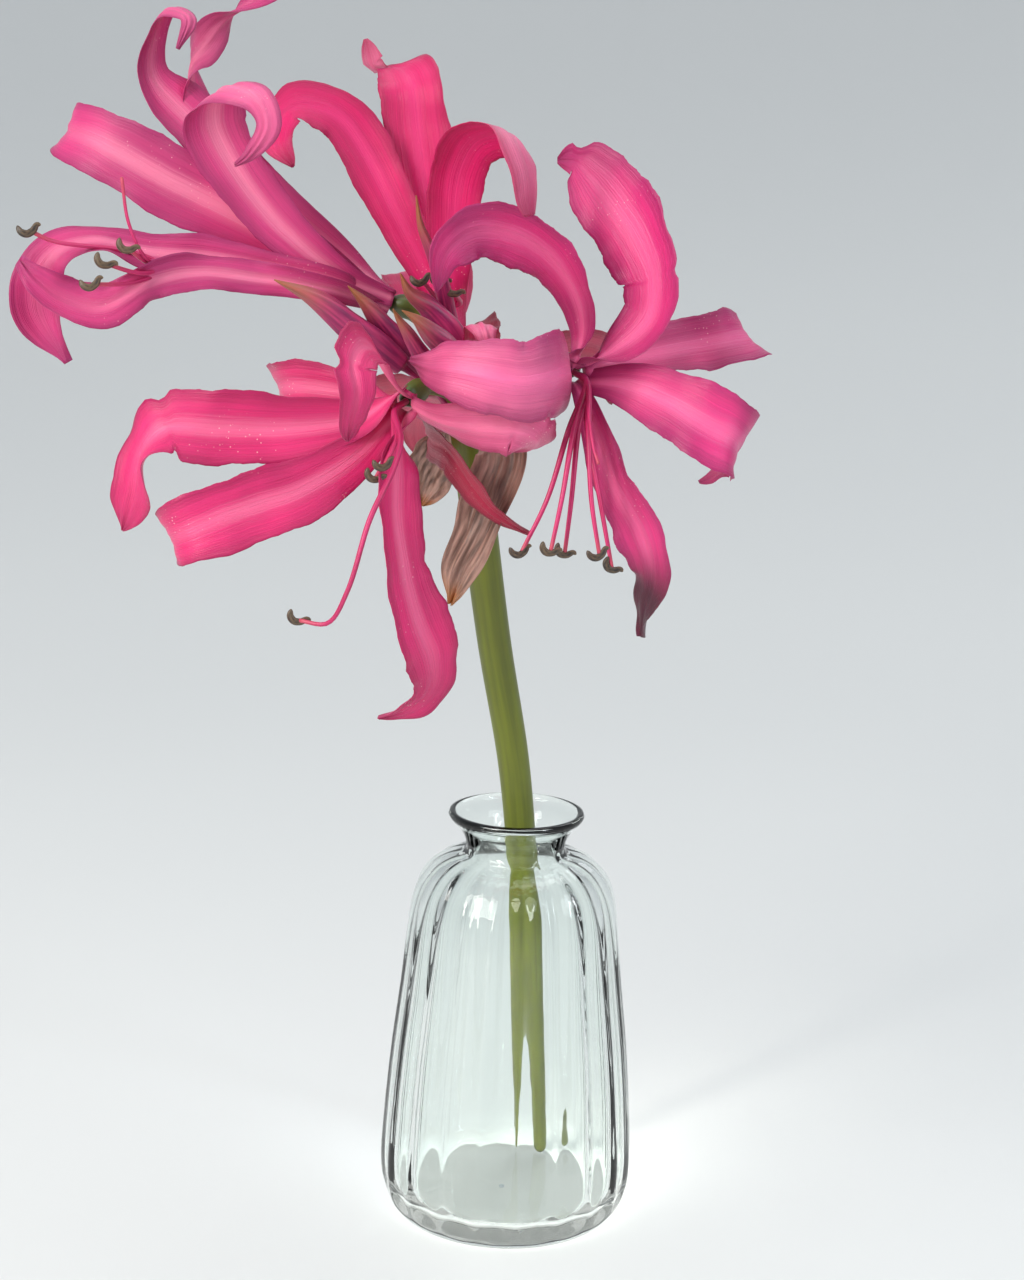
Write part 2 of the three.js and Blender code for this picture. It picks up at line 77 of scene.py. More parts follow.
# Share of the full width along a tepal, from its base to its tip.
STRAP = [(0, 0.3), (0.1, 0.42), (0.3, 0.8), (0.55, 1), (0.75, 0.92), (0.9, 0.62), (0.97, 0.3), (1, 0.06)]
SLIM_END = [(0, 0.3), (0.1, 0.42), (0.35, 0.85), (0.6, 1), (0.72, 0.6), (0.9, 0.35), (1, 0.06)]
LONG_BASE = [(0, 0.3), (0.3, 0.65), (0.55, 0.8), (0.7, 0.8), (0.82, 1), (0.92, 0.7), (1, 0.06)]
WIDE = [(0, 0.3), (0.08, 0.5), (0.2, 0.85), (0.45, 1), (0.65, 1), (0.8, 0.72), (0.92, 0.45), (1, 0.08)]
BLUNT = [(0, 0.3), (0.1, 0.42), (0.3, 0.8), (0.55, 0.95), (0.8, 1), (0.92, 0.9), (0.98, 0.7), (1, 0.5)]
BROAD_BASE = [(0, 0.35), (0.12, 0.8), (0.25, 1), (0.5, 0.95), (0.7, 0.8), (0.85, 0.6), (1, 0.1)]

# Each flower: where its tepals start, the way its throat faces, and the turn of its ring of seats.
# A tepal's path rows are x, y, z and the twist in degrees about the path.
FLOWERS = {
    "a": {
        "throat": (-31, -28, 222), "heading": (-0.8, -0.2, 0.3), "turn": 20, "ring": 187,
        "tepals": [
            {"seat": 0, "width": 15, "ruffle": 0.5, "path": [(-42, -31, 228, 0), (-58, -34, 237, 0),
                (-77, -36, 246, 0), (-93, -34, 254, 0), (-100, -28, 256, 0), (-100, -19, 256, 0),
                (-96, -16, 253, 0)]},
            {"seat": 4, "width": 13.5, "ruffle": 0.3, "shape": SLIM_END, "path": [(-44, -26, 233, 20),
                (-59, -27, 244, 35), (-72, -29, 257, 40), (-82, -30, 268, 40), (-81, -31, 277, 60),
                (-78, -34, 281, 70), (-73, -38, 279, 60), (-75, -40, 273, 50)]},
            {"seat": 5, "width": 9, "ruffle": 0.3, "path": [(-47, -20, 234, 20), (-65, -20, 251, 30),
                (-74, -24, 263, 50), (-74, -25, 271, 110), (-71, -26, 275, 170), (-67, -27, 280, 230),
                (-62, -28, 283, 290), (-53, -28, 287, 360)]},
            {"seat": 3, "width": 13, "ruffle": 0.3, "shape": SLIM_END, "path": [(-40, -34, 227, 0),
                (-53, -38, 237, 0), (-62, -42, 248, 0), (-67, -45, 258, 0), (-66, -49, 263, 10),
                (-62, -57, 265, 30), (-56, -61, 263, 60), (-54, -61, 258, 75), (-58, -58, 252, 60),
                (-61, -56, 250, 60)]},
            {"seat": 1, "width": 11, "ruffle": 0.9, "shape": LONG_BASE, "path": [(-41, -36, 226, 0),
                (-56, -40, 229, 10), (-68, -44, 231, 30), (-81, -48, 232, 50), (-90, -52, 234, 55),
                (-97, -54, 232, 40), (-101, -54, 227, 10), (-102, -53, 220, 0), (-96, -52, 209, 60)]},
            {"seat": 2, "width": 10, "ruffle": 1.1, "shape": LONG_BASE, "path": [(-43, -40, 225, 0),
                (-57, -44, 227, 10), (-70, -49, 228, 30), (-79, -54, 226, 10), (-88, -58, 221, 30),
                (-96, -60, 223, 40), (-101, -61, 227, 30), (-104, -60, 230, 60)]},
        ],
        "stamens": [[(-75, -46, 229), (-83, -51, 232), (-97, -60, 234), (-101, -63, 236)],
            [(-75, -46, 229), (-79, -54, 230), (-82, -60, 233)],
            [(-74, -48, 229), (-80, -57, 228), (-86, -63, 230)],
            [(-74, -48, 228), (-82, -59, 226), (-88, -66, 226)]],
        "style": [(-75, -46, 230), (-79, -56, 231), (-82, -59, 238), (-83, -61, 247)],
    },
    "b": {
        "throat": (-18, -20, 215), "heading": (-0.1, 0, 1), "turn": 30, "ring": 135,
        "tepals": [
            {"seat": 0, "width": 12, "ruffle": 0.4, "path": [(-22, -21, 224, 0), (-30, -20, 240, 0),
                (-38, -18, 254, 20), (-44, -18, 261, 30), (-51, -20, 263, 40), (-55, -22, 261, 50),
                (-56, -26, 255, 60), (-52, -30, 250, 60)]},
            {"seat": 5, "width": 14.5, "ruffle": 0.3, "path": [(-21, -16, 226, 0), (-24, -14, 244, 0),
                (-27, -13, 259, 0), (-28, -12, 267, 0), (-30, -7, 271, 0), (-33, -3, 272, 20),
                (-37, -3, 272, 60), (-39, -3, 278, 80)]},
            {"seat": 2, "width": 13, "ruffle": 0.3, "shape": BLUNT, "path": [
                (-18, -27, 227, 0), (-18, -30, 240, 0),
                (-17, -33, 250, 0), (-14, -38, 256, 0), (-9, -45, 258, 0), (-5, -51, 257, 0),
                (-2, -54, 251, 0), (-1, -53, 242, 0)]},
            {"seat": 1, "width": 8, "ruffle": 0.3, "path": [(-14, -33, 213, 0), (-11, -42, 216, 0),
                (-11, -46, 219, 0), (-10, -50, 218, 0), (-9, -50, 214, 0)]},
            {"seat": 3, "width": 12, "ruffle": 0.5, "path": [(-18, -4, 222, 0), (-20, 8, 230, 0),
                (-21, 20, 236, 0), (-22, 30, 236, 0), (-22, 35.6, 230, 0), (-22, 35.6, 222, 0)]},
            {"seat": 4, "width": 12, "ruffle": 0.5, "path": [(-23, -4, 219, 0), (-27, 8, 223, 0),
                (-30, 20, 226, 0), (-32, 30, 224, 0), (-33, 35.6, 217, 0)]},
        ],
        "stamens": [[(-21, -26, 223), (-24, -32, 227)], [(-18, -26, 223), (-20, -35, 227)],
            [(-16, -26, 222), (-17, -37, 225)]],
    },
    "c": {
        "throat": (9, -38, 209), "heading": (0.45, -0.8, -0.25), "turn": 20, "ring": -26,
        "tepals": [
            {"seat": 4, "width": 18, "ruffle": 0.5, "path": [(17, -41, 214, 0), (24, -43, 221, 0),
                (25, -43, 229, 0), (22, -40, 237, 10), (17, -36, 244, 25), (12, -32, 250, 30),
                (8, -30, 253, 40), (4, -30, 253, 40)]},
            {"seat": 3, "width": 14, "ruffle": 0.5, "path": [(15, -37, 211, 0), (23, -28, 212, 0),
                (35, -22, 214, 0), (43, -20, 215.5, 0), (47.5, -15, 216, 0), (48, -8, 215, 0),
                (45, -2, 212, 0)]},
            {"seat": 2, "width": 16, "ruffle": 0.7, "path": [(19, -42, 207, 0), (29, -46, 204, 0),
                (37, -49, 200, 0), (43, -48, 197, 0), (44, -40, 193, 0), (37, -36, 186, 0)]},
            {"seat": 1, "width": 11, "ruffle": 0.8, "withered": 1, "path": [(13, -43, 200, 0),
                (18, -46, 187, 0), (24, -48, 177, 0), (27, -46, 167, 20), (26, -42, 159, 40),
                (26, -38, 152, 60)]},
            {"seat": 5, "width": 13, "ruffle": 0.4, "path": [(10.5, -38, 216, 0), (9, -42, 225, 10),
                (3, -46, 233.5, 30), (-5, -50, 238, 50), (-13, -54, 238.5, 65), (-18.5, -57, 234, 70),
                (-20, -58, 226, 60)]},
            {"seat": 0, "width": 18, "ruffle": 0.5, "shape": BROAD_BASE, "across": (1, 0, 0),
                "path": [(7, -54, 210, -10), (4, -63, 210, -15), (-2, -67, 209, -15),
                (-8, -68, 210, -10), (-16, -65, 211, -10), (-21, -60, 211, -10), (-25, -56, 212, -20)]},
        ],
        "stamens": [[(8, -50, 198), (4, -54, 184), (-1, -56, 173)],
            [(9, -52, 198), (7, -58, 185), (5, -60, 174)], [(10, -50, 198), (9, -55, 184), (8, -56, 173)],
            [(12, -54, 199), (13, -60, 185), (15, -62, 174)],
            [(12, -50, 198), (15, -54, 184), (18, -55, 170)]],
        "style": [(12, -58, 201), (13, -62, 196), (14, -64, 193)],
    },
    "d": {
        "throat": (-26, -50, 203), "heading": (-0.35, -0.85, -0.25), "turn": 0, "ring": 241,
        "tepals": [
            {"seat": 5, "width": 15.5, "ruffle": 0.5, "path": [(-35, -56, 200, 0), (-49, -62, 198, 0),
                (-63, -66, 198, 0), (-73, -68, 198, 20), (-78, -68, 193, 50), (-80, -66, 184, 20),
                (-83, -62, 176, 10)]},
            {"seat": 1, "width": 14.5, "ruffle": 0.5, "path": [(-35, -58, 193, 0), (-46, -65, 186, 0),
                (-58, -70, 182, 0), (-68, -72, 178, 0), (-72, -68, 176, 0), (-72, -60, 175, 0),
                (-68, -56, 176, 0)]},
            {"seat": 2, "width": 14, "ruffle": 0.6, "shape": WIDE, "path": [
                (-27, -58, 194, 0), (-27, -64, 182, 0),
                (-25, -68, 171, 0), (-22, -68, 160, 10), (-19, -65, 152, 30), (-19, -62, 145, 30),
                (-23, -60, 140, 30), (-30, -58, 137, 40)]},
            {"seat": 3, "width": 12.5, "ruffle": 0.4, "path": [(-19, -56, 200, -15),
                (-10, -60, 199, -32), (-3, -61, 199, -38), (1, -57, 197, -25), (0, -50, 194, 0),
                (-4, -46, 193, 0)]},
            {"seat": 0, "width": 12, "ruffle": 0.6, "path": [(-34, -43, 203, 0), (-43, -40, 204, 0),
                (-50, -37, 204, 0), (-54, -31, 203, 0), (-54, -23, 201, 0), (-49, -21, 201, 0)]},
            {"seat": 4, "width": 10, "ruffle": 0.2, "path": [(-29, -60, 209, 0), (-32, -68, 215, 0),
                (-34, -76, 216, 0), (-35, -82, 213, 10), (-34, -83.5, 208, 10), (-35, -82, 203, 10),
                (-36, -79, 198, 0)]},
        ],
        "stamens": [[(-27, -64, 197), (-29, -68, 192)], [(-28, -62, 195), (-31, -66, 189)],
            [(-26, -68, 197), (-27, -76, 192), (-31, -82, 183), (-35, -84, 169), (-39, -82, 162),
                (-45, -80, 162)]],
    },
    "e": {
        "throat": (-14, -9, 199), "heading": (0, 0.95, 0.1), "turn": 30, "ring": 70,
        "tepals": [
            {"seat": 1, "width": 9, "ruffle": 0.3, "path": [(-19, -10, 194, 0), (-22, -22, 193, 0),
                (-21, -36, 193, 0), (-17, -46, 192, 0), (-12.3, -49, 186, 0), (-7.9, -49, 181, 0),
                (-3.6, -48.5, 178, 0), (0.9, -48, 175.5, 0)]},
            {"seat": 0, "width": 11, "ruffle": 0.5, "path": [(0, 4, 205, 0), (8, 14, 209, 0),
                (16, 23, 208, 0), (20, 30, 202, 0), (20, 34, 195, 0)]},
            {"seat": 4, "width": 12, "ruffle": 0.5, "path": [(-13, 3, 206, 0), (-13, 12, 212, 0),
                (-14, 22, 214, 0), (-15, 30, 210, 0), (-15, 34, 203, 0)]},
            {"seat": 3, "width": 12, "ruffle": 0.5, "path": [(-23, 3, 200, 0), (-33, 12, 198, 0),
                (-41, 20, 195, 0), (-45, 27, 190, 0), (-45, 31, 185, 0)]},
            {"seat": 2, "width": 11, "ruffle": 0.5, "path": [(-19, 3, 197, 0), (-23, 12, 196, 0),
                (-26, 22, 192, 0), (-27, 30, 186, 0), (-26, 33, 180, 0)]},
            {"seat": 5, "width": 11, "ruffle": 0.5, "path": [(-8, 4, 203, 0), (-3, 12, 206, 0),
                (2, 20, 206, 0), (5, 27, 202, 0), (5, 31, 195, 0)]},
        ],
        "stamens": [[(-13, 6, 199), (-10, 24, 195)], [(-14, 6, 200), (-16, 26, 198)],
            [(-15, 6, 201), (-20, 24, 203)]],
    },
}

# Slim pointed buds: widest radius, start angle on the umbel, and the middle line to the tip.
BUDS = [
    (3.2, 200, [(-20, -34, 203), (-26, -38, 208), (-36, -42, 216), (-45, -45, 223), (-54, -47, 227)]),
    (2.8, 155, [(-23, -31, 206), (-27, -35, 212), (-31, -38, 217), (-35, -41, 222), (-39, -43, 226)]),
    (2.0, 240, [(-19, -37, 206), (-23, -43, 212), (-26, -47, 217), (-28, -49, 220), (-29, -51, 222)]),
    (2.8, 290, [(-14, -37, 205), (-17, -44, 213), (-21, -49, 217), (-24, -52, 220), (-27, -54, 222)]),
    (2.8, 20, [(-15, -31, 207), (-17, -37, 216), (-22, -40, 222), (-26, -43, 225), (-28, -45, 229)]),
    (1.7, 90, [(-14, -28, 208), (-18, -33, 220), (-21, -41, 232), (-24, -44, 239), (-25, -46, 245)]),
]

SPATHES = [
    (12.5, [(-8, -31.5, 196, 0), (-5, -37, 191, 0), (-7, -41, 184, 0), (-10, -43, 175, 0),
        (-14, -42, 166, 0), (-16, -38, 158, 0)]),
    (12, [(-18.5, -24, 193.5, 0), (-20, -21, 188, 0), (-22, -18, 183, 0), (-24, -15, 176, 0)]),
]

# tepal_deep holds the back flower's darker colours, which are painted shade.
SLOTS = {"a": "tepal_dusky", "b": "tepal_crimson", "c": "tepal_magenta", "d": "tepal_rose",
    "e": "tepal_deep"}


# ---------------------------------------------------------------- curves and grids
def unit(v):
    """Rows divided by their own length."""
    v = np.asarray(v, float)
    return v / np.maximum(np.linalg.norm(v, axis=-1, keepdims=True), 1e-9)


def smoothstep(low, high, x):
    """3q^2 - 2q^3, where q is x's share of the way from low to high, held between 0 and 1."""
    q = np.clip((x - low) / (high - low), 0, 1)
    return q * q * (3 - 2 * q)


def spline(points, count):
    """Rows at even steps of length along a centripetal Catmull-Rom curve through the points.

    Each stretch blends straight lines between its four nearest points, with knots spaced by the
    square root of the distance between points. Extra columns, such as a twist, are carried along.
    """
    points = np.asarray(points, float)
    ends = np.vstack([2 * points[0] - points[1], points, 2 * points[-1] - points[-2]])
    rows = []
    for p0, p1, p2, p3 in zip(ends, ends[1:], ends[2:], ends[3:]):
        gaps = [max(np.linalg.norm((b - a)[:3]), 1e-6) ** 0.5 for a, b in ((p0, p1), (p1, p2), (p2, p3))]
        t0, t1, t2, t3 = np.cumsum([0.0] + gaps)
        t = np.linspace(t1, t2, 41)[:-1, None]
        a1 = (t1 - t) / (t1 - t0) * p0 + (t - t0) / (t1 - t0) * p1
        a2 = (t2 - t) / (t2 - t1) * p1 + (t - t1) / (t2 - t1) * p2
        a3 = (t3 - t) / (t3 - t2) * p2 + (t - t2) / (t3 - t2) * p3
        b1 = (t2 - t) / (t2 - t0) * a1 + (t - t0) / (t2 - t0) * a2
        b2 = (t3 - t) / (t3 - t1) * a2 + (t - t1) / (t3 - t1) * a3
        rows.append((t2 - t) / (t2 - t1) * b1 + (t - t1) / (t2 - t1) * b2)
    rows = np.vstack(rows + [points[-1:]])
    length = np.concatenate([[0], np.cumsum(np.linalg.norm(np.diff(rows[:, :3], axis=0), axis=1))])
    even = np.linspace(0, length[-1], count)
    return np.stack([np.interp(even, length, column) for column in rows.T], axis=1)


def share(table, s):
    """A smooth curve through (place, value) pairs, read at the places s."""
    rows = spline([(x, v, 0) for x, v in table], 200)
    return np.interp(s, rows[:, 0], rows[:, 1])


def carried(middle, across):
    """Unit directions along a path, to its side, and square to both.

    The side starts as along x across and is carried from step to step with no spin: each step
    takes away the part of it that has come to lie along the path.
    """
    along = unit(np.gradient(middle, axis=0))
    side = np.zeros_like(along)
    current = np.cross(along[0], across)
    for i, direction in enumerate(along):
        current = unit(current - direction * np.dot(current, direction))
        side[i] = current
    return along, side, np.cross(along, side)


def turned(side, out, angle):
    """side and out turned about the path: cos a side + sin a out, and cos a out - sin a side."""
    c, s = np.cos(angle)[:, None], np.sin(angle)[:, None]
    return c * side + s * out, c * out - s * side


def tube_faces(rings, around):
    """Quads between neighbouring rings of a closed tube, with the two ends left open."""
    r, k = np.meshgrid(np.arange(rings - 1), np.arange(around), indexing="ij")
    a = r * around + k
    b = r * around + (k + 1) % around
    return np.stack([a, b, b + around, a + around], axis=-1).reshape(-1, 4)


def closed_faces(grid):
    """A closed grid's quads and its two end caps, facing outward.

    The volume summed over the triangles of the quads tells which way round they go.
    """
    rings, around, _ = grid.shape
    quads = tube_faces(rings, around)
    ends = [list(range(around))[::-1], list(range((rings - 1) * around, rings * around))]
    a, b, c, d = (grid.reshape(-1, 3)[quads[:, i]] for i in range(4))
    volume = np.einsum("ij,ij->i", a, np.cross(b, c) + np.cross(c, d)).sum()
    order = slice(None, None, -1) if volume < 0 else slice(None)
    return [face[order] for face in quads.tolist() + ends]


def shown_piece(name, vertices, faces, uv, materials, nodes):
    """A smooth piece from vertices in millimetres, riding on the root and standing for its nodes."""
    mesh = bpy.data.meshes.new(name)
    mesh.from_pydata((vertices * MM).tolist(), [], faces)
    loops = np.empty(len(mesh.loops), np.int32)
    mesh.loops.foreach_get("vertex_index", loops)
    layer = mesh.uv_layers.new(name="UVMap")
    layer.data.foreach_set("uv", uv.reshape(-1, 2)[loops].astype(np.float32).ravel())
    mesh.polygons.foreach_set("use_smooth", np.ones(len(mesh.polygons), bool))
    for material in materials:
        mesh.materials.append(material)
    piece = bpy.data.objects.new(name, mesh)
    bpy.context.scene.collection.objects.link(piece)
    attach(piece, "root")
    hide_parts(*nodes)
    return piece


def mesh_piece(name, grid, uv, materials, nodes, masks=None):
    """A closed piece from a grid of rings, rings x points around x 3, with its masks by name."""
    piece = shown_piece(name, grid.reshape(-1, 3), closed_faces(grid), uv, materials, nodes)
    for label, values in (masks or {}).items():
        attribute = piece.data.attributes.new(label, "FLOAT", "POINT")
        attribute.data.foreach_set("value", values.reshape(-1).astype(np.float32))
    return piece


def joined_piece(name, parts, materials, nodes):
    """One piece made of several closed grids, each given as (grid, uv, material number)."""
    vertices, faces, uvs, numbers, base = [], [], [], [], 0
    for grid, uv, number in parts:
        part_faces = closed_faces(grid)
        faces += [[vertex + base for vertex in face] for face in part_faces]
        numbers += [number] * len(part_faces)
        vertices.append(grid.reshape(-1, 3))
        uvs.append(uv.reshape(-1, 2))
        base += len(vertices[-1])
    piece = shown_piece(name, np.vstack(vertices), faces, np.vstack(uvs), materials, nodes)
    piece.data.polygons.foreach_set("material_index", np.array(numbers, np.int32))
    return piece


def rod_grid(path, radius, rings, around, lobes=0, lobe_depth=0.0, spin=0.0):
    """A rod round a path: radius(s) (1 + depth cos(lobes (angle + spin s))) about the middle line."""
    rows = spline(path, rings)
    s = np.linspace(0, 1, rings)[:, None]
    angle = np.linspace(0, 2 * math.pi, around, endpoint=False)[None, :]
    _, side, out = carried(rows[:, :3], (0.05, 1, 0.1))
    reach = radius(s) * (1 + lobe_depth * np.cos(lobes * (angle + spin * s)))
    grid = rows[:, None, :3] + side[:, None] * (reach * np.cos(angle))[..., None]
    grid = grid + out[:, None] * (reach * np.sin(angle))[..., None]
    uv = np.stack([np.abs(angle / math.pi - 1) + 0 * s, s + 0 * angle], axis=-1)
    return grid, uv


# ---------------------------------------------------------------- node helpers
def link(tree, value, socket):
    """Joins a node's output to a socket, or sets the socket when the value is a constant."""
    if isinstance(value, bpy.types.NodeSocket):
        tree.links.new(value, socket)
    else:
        socket.default_value = value


def maths(tree, operation, a, b=0.0, c=0.0):
    """A sum, product or other operation on numbers or sockets."""
    node = tree.nodes.new("ShaderNodeMath")
    node.operation = operation
    for value, socket in zip((a, b, c), node.inputs):
        link(tree, value, socket)
    return node.outputs[0]


def ramp(tree, value, low, high, out_low=0.0, out_high=1.0):
    """A smooth step of value between low and high."""
    node = tree.nodes.new("ShaderNodeMapRange")
    node.interpolation_type = "SMOOTHSTEP"
    for item, socket in zip((value, low, high, out_low, out_high), node.inputs):
        link(tree, item, socket)
    return node.outputs[0]


def blend(tree, factor, a, b):
    """Colour a turned into colour b by a factor from 0 to 1."""
    node = tree.nodes.new("ShaderNodeMix")
    node.data_type = "RGBA"
    link(tree, factor, node.inputs[0])
    link(tree, a, node.inputs[6])
    link(tree, b, node.inputs[7])
    return node.outputs[2]


def noise(tree, vector, scale, detail=3.0, distortion=0.0):
    """Soft noise read at a vector."""
    node = tree.nodes.new("ShaderNodeTexNoise")
    link(tree, vector, node.inputs["Vector"])
    node.inputs["Scale"].default_value = scale
    node.inputs["Detail"].default_value = detail
    node.inputs["Distortion"].default_value = distortion
    return node.outputs["Fac"]


def combined(tree, x, y):
    """A vector from two numbers."""
    node = tree.nodes.new("ShaderNodeCombineXYZ")
    for value, socket in zip((x, y), node.inputs):
        link(tree, value, socket)
    return node.outputs[0]


def split_uv(tree):
    """The piece's own UV map: across in the first number, along in the second."""
    uv = tree.nodes.new("ShaderNodeUVMap")
    uv.uv_map = "UVMap"
    parts = tree.nodes.new("ShaderNodeSeparateXYZ")
    tree.links.new(uv.outputs[0], parts.inputs[0])
    return parts.outputs[0], parts.outputs[1]


def object_place(tree):
    """The point's place on the piece, in metres."""
    return tree.nodes.new("ShaderNodeTexCoord").outputs["Object"]


def mask(tree, label):
    """One of the piece's own masks, read by name."""
    node = tree.nodes.new("ShaderNodeAttribute")
    node.attribute_name = label
    return node.outputs["Fac"]


def new_group(name, inputs, outputs):
    """A shader node group with named inputs, given as (name, type, default), and outputs."""
    tree = bpy.data.node_groups.new(name, "ShaderNodeTree")
    for label, kind, default in inputs:
        socket = tree.interface.new_socket(label, in_out="INPUT", socket_type=kind)
        socket.default_value = default
    for label, kind in outputs:
        tree.interface.new_socket(label, in_out="OUTPUT", socket_type=kind)
    start = tree.nodes.new("NodeGroupInput")
    end = tree.nodes.new("NodeGroupOutput")
    return tree, start.outputs, end.inputs


def new_material(name, colour):
    """A material with one Principled BSDF, and its tree and shader."""
    material = bpy.data.materials.new(name)
    material.use_nodes = True
    material.diffuse_color = (*colour, 1.0)
    return material, material.node_tree, material.node_tree.nodes["Principled BSDF"]


def use_group(tree, group, values):
    """A node group placed in a material, with its inputs set by name, and its outputs."""
    node = tree.nodes.new("ShaderNodeGroup")
    node.node_tree = group
    for label, value in values.items():
        link(tree, value, node.inputs[label])
    return node.outputs


def bump(tree, height, shader, strength, distance):
    """Relief on the shader's surface, as deep as the distance in metres."""
    node = tree.nodes.new("ShaderNodeBump")
    node.inputs["Strength"].default_value = strength
    node.inputs["Distance"].default_value = distance
    tree.links.new(height, node.inputs["Height"])
    tree.links.new(node.outputs[0], shader.inputs["Normal"])


COLOUR, NUMBER = "NodeSocketColor", "NodeSocketFloat"


def tepal_skin_group():
    """Petal skin: a pale midrib stripe, fine veins along the blade, a darker margin and tip,
    slow blotches and pale specks painted as glints for the tepals' sparkle. Height is the veins with a
    fine cell grain.
    """
    tree, given, result = new_group("Petal skin", [
        ("Flesh", COLOUR, (0.6, 0.05, 0.2, 1)), ("Stripe", COLOUR, (0.9, 0.25, 0.4, 1)),
        ("Margin", COLOUR, (0.3, 0.02, 0.1, 1)), ("Outer", COLOUR, (0.8, 0.3, 0.45, 1)),
        ("Stripe width", NUMBER, 0.2), ("Stripe strength", NUMBER, 0.6), ("Veins", NUMBER, 0.4),
        ("Blotches", NUMBER, 0.4), ("Glint specks", NUMBER, 0.3)],
        [("Color", COLOUR), ("Roughness", NUMBER), ("Height", NUMBER)])
    across, along = split_uv(tree)
    place = object_place(tree)
    slow = noise(tree, place, 90, 3, 0.6)
    sway = maths(tree, "MULTIPLY_ADD", slow, 0.05, -0.025)
    u = maths(tree, "ADD", across, sway)
    off = maths(tree, "ABSOLUTE", maths(tree, "MULTIPLY_ADD", u, 2.0, -1.0))
    streak = noise(tree, combined(tree, maths(tree, "MULTIPLY", u, 46.0),
        maths(tree, "MULTIPLY", along, 2.6)), 1.0, 5, 0.4)
    veins = ramp(tree, streak, 0.3, 0.72)
    ragged = maths(tree, "MULTIPLY_ADD", streak, 0.5, maths(tree, "SUBTRACT", off, 0.25))
    stripe = ramp(tree, ragged, 0.0, given["Stripe width"], 1.0, 0.0)
    stripe = maths(tree, "MULTIPLY", stripe, ramp(tree, along, 0.55, 0.95, 1.0, 0.1))
    stripe = maths(tree, "MULTIPLY", stripe, given["Stripe strength"])
    margin = ramp(tree, maths(tree, "ADD", off, sway), 0.55, 1.0)
    tip = ramp(tree, along, 0.9, 1.0)
    dark = maths(tree, "MAXIMUM", maths(tree, "MULTIPLY", margin, 0.65), maths(tree, "MULTIPLY", tip, 0.7))
    outside = mask(tree, "outside")
    flesh = blend(tree, maths(tree, "MULTIPLY", outside, 0.6), given["Flesh"], given["Outer"])
    patch = ramp(tree, noise(tree, place, 45, 2, 0.4), 0.35, 0.7)
    colour = blend(tree, maths(tree, "MULTIPLY", patch, given["Blotches"]), flesh, given["Margin"])
    colour = blend(tree, maths(tree, "MULTIPLY", maths(tree, "SUBTRACT", 1.0, veins), given["Veins"]),
        colour, given["Margin"])
    colour = blend(tree, stripe, colour, given["Stripe"])
    colour = blend(tree, dark, colour, given["Margin"])
    # Pale specks scattered in patches: painted glints that stand for the tepals' sparkle.
    glint_cells = tree.nodes.new("ShaderNodeTexVoronoi")
    link(tree, place, glint_cells.inputs["Vector"])
    glint_cells.inputs["Scale"].default_value = 900
    glint_specks = ramp(tree, glint_cells.outputs["Distance"], 0.1, 0.16, 1.0, 0.0)
    glint_zone = ramp(tree, noise(tree, place, 60, 1), 0.55, 0.7)
    glint_specks = maths(tree, "MULTIPLY", maths(tree, "MULTIPLY", glint_specks, glint_zone), given["Glint specks"])
    colour = blend(tree, glint_specks, colour, (1.0, 0.75, 0.7, 1))
    wither = maths(tree, "MULTIPLY", mask(tree, "wither"), ramp(tree, slow, 0.15, 0.35))
    colour = blend(tree, wither, colour, (0.07, 0.008, 0.025, 1))
    cells = noise(tree, place, 2600, 2)
    height = maths(tree, "MULTIPLY_ADD", veins, 0.7, maths(tree, "MULTIPLY", cells, 0.25))
    link(tree, colour, result["Color"])
    link(tree, maths(tree, "MULTIPLY_ADD", slow, 0.25, 0.3), result["Roughness"])
    link(tree, height, result["Height"])
    return tree


def tepal_material(name, skin, flesh, stripe, margin, outer, values):
    """A petal's material: the skin's colour and veins over a soft, slightly translucent body."""
    material, tree, shader = new_material(name, flesh)
    outputs = use_group(tree, skin, {"Flesh": (*flesh, 1), "Stripe": (*stripe, 1),
        "Margin": (*margin, 1), "Outer": (*outer, 1), **values})
    tree.links.new(outputs["Color"], shader.inputs["Base Color"])
    tree.links.new(outputs["Roughness"], shader.inputs["Roughness"])
    bump(tree, outputs["Height"], shader, 0.5, 0.00025)
    shader.inputs["Subsurface Weight"].default_value = 0.15
    shader.inputs["Subsurface Radius"].default_value = (1.0, 0.25, 0.4)
    shader.inputs["Subsurface Scale"].default_value = 0.0015
    shader.inputs["Sheen Weight"].default_value = 0.06
    shader.inputs["Sheen Roughness"].default_value = 0.4
    shader.inputs["Specular IOR Level"].default_value = 0.45
    return material


